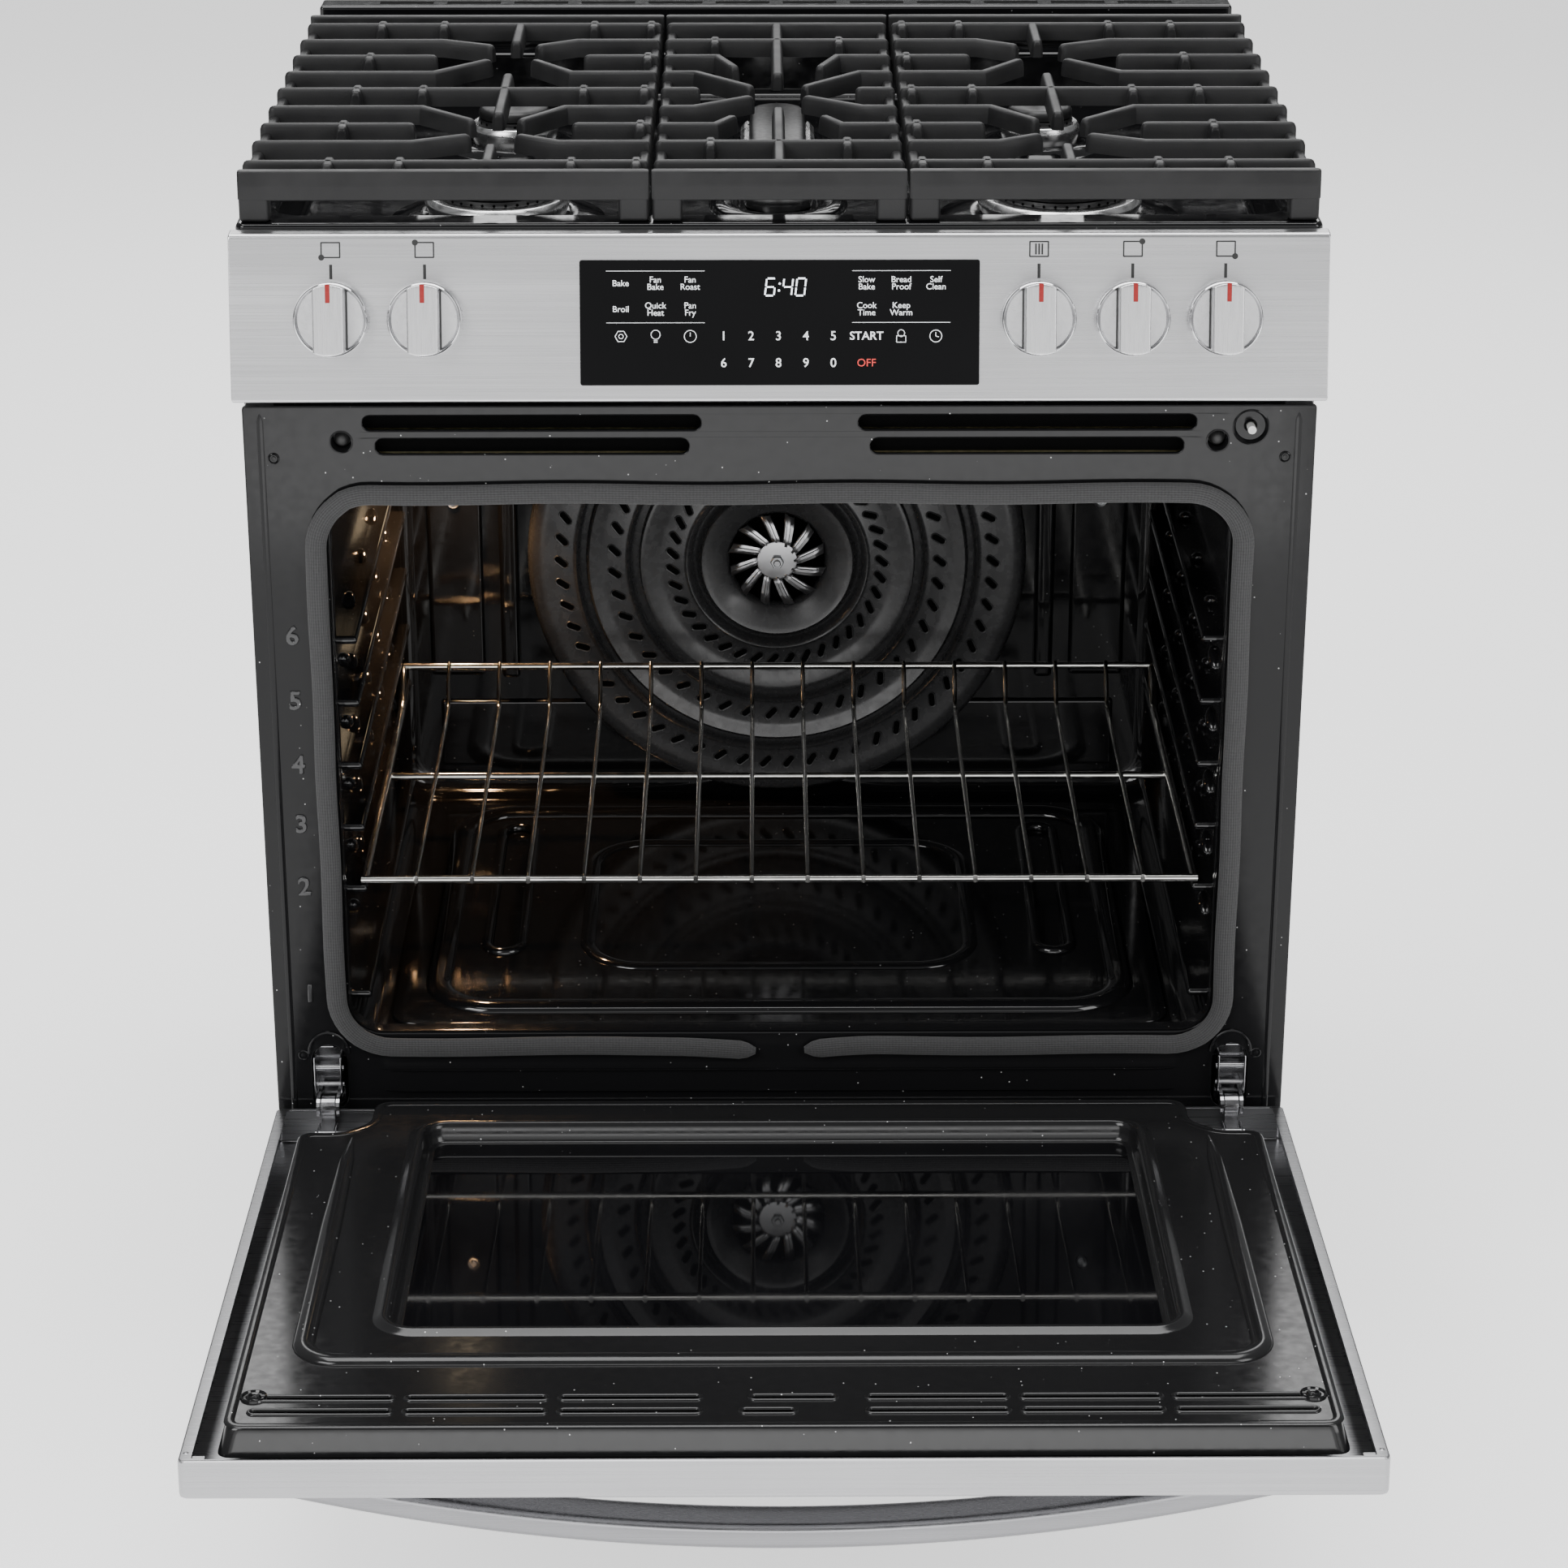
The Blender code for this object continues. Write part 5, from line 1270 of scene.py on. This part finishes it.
# ---------------------------------------------------------------- door
def door_skin():
    """The steel tray of the door: outer face with its window, rounded edges and the turned-in lip."""
    face, rim = -0.05, -0.023
    outer = (-0.3785, 0.21, 0.3785, 0.7675)
    window = (-0.255, 0.33, 0.255, 0.64)
    lip = (-0.3702, 0.2112, 0.3702, 0.7645)
    rows = [(window, 0, 0.012, face + 0.0014), (window, 0, 0.012, face + 0.0005),
            (window, 0.0006, 0.0125, face), (outer, -0.004, 0.004, face),
            (outer, -0.0016, 0.004, face + 0.0004), (outer, -0.0004, 0.004, face + 0.0016),
            (outer, 0, 0.004, face + 0.004), (outer, 0, 0.004, rim - 0.0018),
            (outer, -0.0005, 0.004, rim - 0.0005), (outer, -0.0016, 0.0035, rim), (lip, 0, 0.003, rim),
            (lip, 0, 0.003, rim - 0.0012), (outer, -0.0014, 0.003, rim - 0.0014),
            (outer, -0.0014, 0.003, face + 0.0016)]
    shape = bmesh.new()
    add_loft(shape, stacked((rounded(*grown(area, margin), radius, 5), y) for area, margin, radius,
                            y in rows))
    finish_mesh("door_tray", outward(shape), "door_steel", "door", DOOR, 30, ("door_outer_skin",))
    tabs = bmesh.new()
    for side in SIDES:
        low, high = sorted((side * 0.3615, side * 0.37))
        add_block(tabs, (low, rim - 0.003, 0.7585), (high, rim - 0.0006, 0.764), 0.0006)
        add_turned(tabs, [(0, 0.0004), (0.0012, 0.0003), (0.0018, 0)], 16,
                   facing(side * 0.3742, rim, 0.756) @ Matrix.Scale(-1, 4, (0, 0, 1)))
    finish_mesh("door_corner_tabs", tidy(tabs), "door_steel", "door", DOOR)


def add_rim(shape, outline, depth, width, height):
    add_sweep(shape, in_plane(outline, "XZ", depth), arch(width, height, 8), closed=True, up=BACK)


def mirrored(points):
    """Points of the right half followed by the left half's, so that the outline closes."""
    return points + [(-x, z) for x, z in reversed(points)]


def lining_outline(part):
    """The lining's outline at a part of the way from the foot of its skirt to the crest."""
    foot = mirrored([(0.302, 0.2275), (0.302, 0.27), (0.324, 0.286), (0.3558, 0.286), (0.3558, 0.7545)])
    crest = mirrored([(0.298, 0.234), (0.298, 0.272), (0.321, 0.2915), (0.3495, 0.2915), (0.3495, 0.748)])
    radii = [0.01, 0.012, 0.012, 0.008, 0.01]
    corners = [(a + (c - a) * part, b + (d - b) * part) for (a, b), (c, d) in zip(foot, crest)]
    return rounded_polygon(corners, radii + radii[::-1], 5)


def louvre_areas():
    """Two rows of seven louvres. The middle one of each row is shorter and off centre."""
    areas = []
    for z, middle, middle_half in ((0.7105, 0.006, 0.027), (0.729, -0.01, 0.017)):
        for n in range(-3, 4):
            x, half = (n * 0.0975, 0.0445) if n else (middle, middle_half)
            areas.append((x - half, z - 0.003, x + half, z + 0.003))
    return areas


def lining_ridge(shape, plane):
    """The raised U that runs up both sides of the lining and across its top."""
    side, top, bend = 0.313, 0.657, 0.025
    ridge = [(-0.3125, 0.297)] + [(-side, z) for z in (0.34, 0.45, 0.6, top - bend)]
    for step in range(1, 8):
        angle = math.radians(90 * step / 8)
        ridge.append((-side + bend - bend * math.cos(angle), top - bend + bend * math.sin(angle)))
    ridge += [(x, top) for x in (-side + bend, -0.15, 0.0)]
    path = [(x, plane - 0.0004, z) for x, z in ridge + [(-x, z) for x, z in ridge[-2::-1]]]
    scales = [0.15, 0.75] + [1.0] * (len(path) - 4) + [0.75, 0.15]
    add_sweep(shape, path, arch(0.015, 0.0044, 12), up=BACK, scales=scales)


def door_lining():
    """The enamelled inner panel: a sloped skirt, a raised U, a deep window frame and two louvre rows."""
    plane = -0.009
    window = (-0.259, 0.279, 0.259, 0.61)
    louvres = louvre_areas()
    loops = [lining_outline(1.0), rounded(*grown(window, 0.0125), 0.028)]
    loops += [stadium(*louvre, 5) for louvre in louvres]
    curve_plate("door_lining_plate", loops, "XZ", plane - 0.0013, plane, 0.0001, "door_enamel", "door",
                DOOR, ("door_inner_panel",))
    shape = bmesh.new()
    skirt = ((1.0, 0.0), (0.9, 0.0004), (0.75, 0.002), (0.55, 0.006), (0.25, 0.013), (0.05, 0.017),
             (0.0, 0.0185))
    add_loft(shape, stacked((lining_outline(part), plane - drop) for part, drop in skirt))
    frame_rows = ((0.0125, 0.028, 0.0), (0.01, 0.026, 0.0008), (0.0078, 0.024, 0.0026),
                  (0.006, 0.022, 0.0032), (0.0042, 0.02, 0.0031), (0.002, 0.018, 0.0022),
                  (0.0006, 0.016, -0.001), (0.0, 0.015, -0.0045), (-0.001, 0.0145, -0.01),
                  (-0.003, 0.013, -0.0114), (-0.006, 0.011, -0.0116))
    add_loft(shape, stacked((rounded(*grown(window, margin), radius, 10), plane + rise)
                            for margin, radius, rise in frame_rows))
    for louvre in louvres:
        add_rim(shape, stadium(*grown(louvre, 0.0006), 6), plane - 0.0002, 0.0034, 0.0014)
    lining_ridge(shape, plane)
    add_rim(shape, lining_outline(1.12), plane - 0.0003, 0.0075, 0.0013)
    finish_mesh("door_lining_pressings", outward(shape), "door_enamel", "door", DOOR, 50)
    block_piece("louvre_shadows", [((left, plane - 0.003, low), (right, plane - 0.0016, high))
                                   for left, low, right, high in louvres], 0.0001, "port", "door", DOOR, 0)
    turned_piece("lining_screws", [(0, 0.0004), (0.0016, 0.0005), (0.0018, 0.0016), (0.0036, 0.0018),
                                   (0.0047, 0.0009), (0.0052, 0.0003), (0.0066, 0.0004), (0.0074, 0.0016),
                                   (0.0084, 0.0014), (0.009, -0.0002)], 32,
                 [facing(x, plane, 0.7085, -90) for x in (-0.3367, 0.3367)], "oven_enamel", "door", DOOR)
    repaint("window_glass", "door_glass_inner", "door_glass_outer")


def door_handle():
    """A bowed bar with soft edges that runs into the door at both ends."""
    face, z_middle, bow_depth, half_length, half_bar, half_high = -0.0503, 0.72, 0.046, 0.347, 0.01, 0.016
    stations, sides, squareness = 60, 32, 0.62
    rings = []
    for n in range(stations + 1):
        x = half_length * math.sin(math.pi * (n / stations - 0.5))
        bow = bow_depth * (1 - (x / half_length) ** 2)
        outer = face - bow - half_bar
        inner = min(face, face - bow + half_bar)
        ring = []
        for k in range(sides):
            c, s = math.cos(math.tau * k / sides), math.sin(math.tau * k / sides)
            across = math.copysign(abs(c) ** squareness, c) * (inner - outer) / 2
            rise = math.copysign(abs(s) ** squareness, s) * half_high
            ring.append(Vector((x, (outer + inner) / 2 + across, z_middle + rise)))
        rings.append(ring)
    shape = bmesh.new()
    add_solid(shape, rings)
    finish_mesh("handle_bar", outward(shape), "handle_steel", "door", DOOR, 60, ("door_handle",))


def door_hinges():
    """Linkage parts on the plain CAD hinges: claws, links and rivets."""
    for side, name in ((-1, "left"), (1, "right")):
        x = side * HINGE_X
        claw = bmesh.new()
        for offset in (-0.0098, 0.0098):
            add_block(claw, (x + offset - 0.0007, -0.012, 0.226), (x + offset + 0.0007, 0.006, 0.2575),
                      0.0005)
        add_block(claw, (x - 0.01, 0.003, 0.233), (x + 0.01, 0.006, 0.26))
        for y, z, radius in ((-0.005, 0.246, 0.0024), (-0.006, 0.233, 0.0017)):
            add_rod(claw, (x - 0.0112, y, z), (x + 0.0112, y, z), radius)
        finish_mesh(f"hinge_claw_{name}", claw, "hinge_plate")
        turns = [math.radians(degrees) for degrees in range(0, 181, 15)]
        arc = [(x + 0.015 * math.cos(a), -0.0006, 0.256 + 0.017 * math.sin(a)) for a in turns]
        rim = bmesh.new()
        add_sweep(rim, arc, ellipse(0.0028, 0.0024, 8), up=BACK)
        finish_mesh(f"hinge_slot_rim_{name}", tidy(rim), "frame_enamel")
        link = bmesh.new()
        for offset in (-0.0066, 0.0066):
            add_block(link, (x + offset - 0.0008, -0.0345, 0.2245), (x + offset + 0.0008, -0.0285, 0.29),
                      0.0006)
        for z, radius in ((0.24, 0.0026), (0.262, 0.002)):
            add_rod(link, (x - 0.0085, -0.031, z), (x + 0.0085, -0.031, z), radius)
        finish_mesh(f"hinge_link_{name}", link, "hinge_plate", "door", DOOR)
    repaint("hinge_plate", "hinge_receiver_left", "hinge_receiver_right", "hinge_arm_left",
            "hinge_arm_right")


# ---------------------------------------------------------------- drawer and plain sheet parts
def drawer():
    section = rounded_polygon([(-0.022, 0.036), (-0.022, 0.183), (-0.034, 0.183), (-0.045, 0.172),
                               (-0.045, 0.036)], [0.001, 0.001, 0.003, 0.004, 0.003], 5)
    middle = Vector((-0.033, 0.11))
    rings = [[Vector((x, y + (middle.x - y) * shrink * 20, z + (middle.y - z) * shrink * 8))
              for y, z in section] for x, shrink in eased_ends(0.378)]
    shape = bmesh.new()
    add_solid(shape, rings)
    finish_mesh("drawer_face", outward(shape), "door_steel", "drawer", replaces=("drawer_front",))
    block_piece("drawer_grip", [((-0.1, -0.0352, 0.1806), (0.1, -0.0262, 0.1834))], 0.0009, "rubber",
                "drawer")
    repaint("galvanised", "drawer_box")


def sheet_parts():
    repaint("side_paint", "side_panel_left", "side_panel_right", "levelling_leg_front_left",
            "levelling_leg_front_right", "levelling_leg_rear_left", "levelling_leg_rear_right")
    repaint("galvanised", "rear_cover", "base_pan", "gas_manifold", "fan_motor")
    repaint("wool", "insulation_blanket")
    repaint("burner_steel", "bake_burner", "broil_burner")
    turned_piece("rear_screws", [(0, 0.0022), (0.003, 0.002), (0.0042, 0.001), (0.0044, 0)], 20,
                 [facing(x, 0.6044, z, -90) for z in (0.1, 0.3, 0.5, 0.8) for x in (-0.368, 0.368)], "zinc")


for build in (camera_and_stage, studio_lights, oven_lights, front_plate, front_returns, front_details,
              door_seal, oven_walls, oven_floor, fan_cover, fan_wheel, oven_lamp, oven_rack, control_panel,
              glass_words, glass_symbols, clock_figures, knob_marks, knobs, cooktop, burners, middle_burner,
              grates, door_skin, door_lining, door_handle, door_hinges, drawer, sheet_parts):
    build()
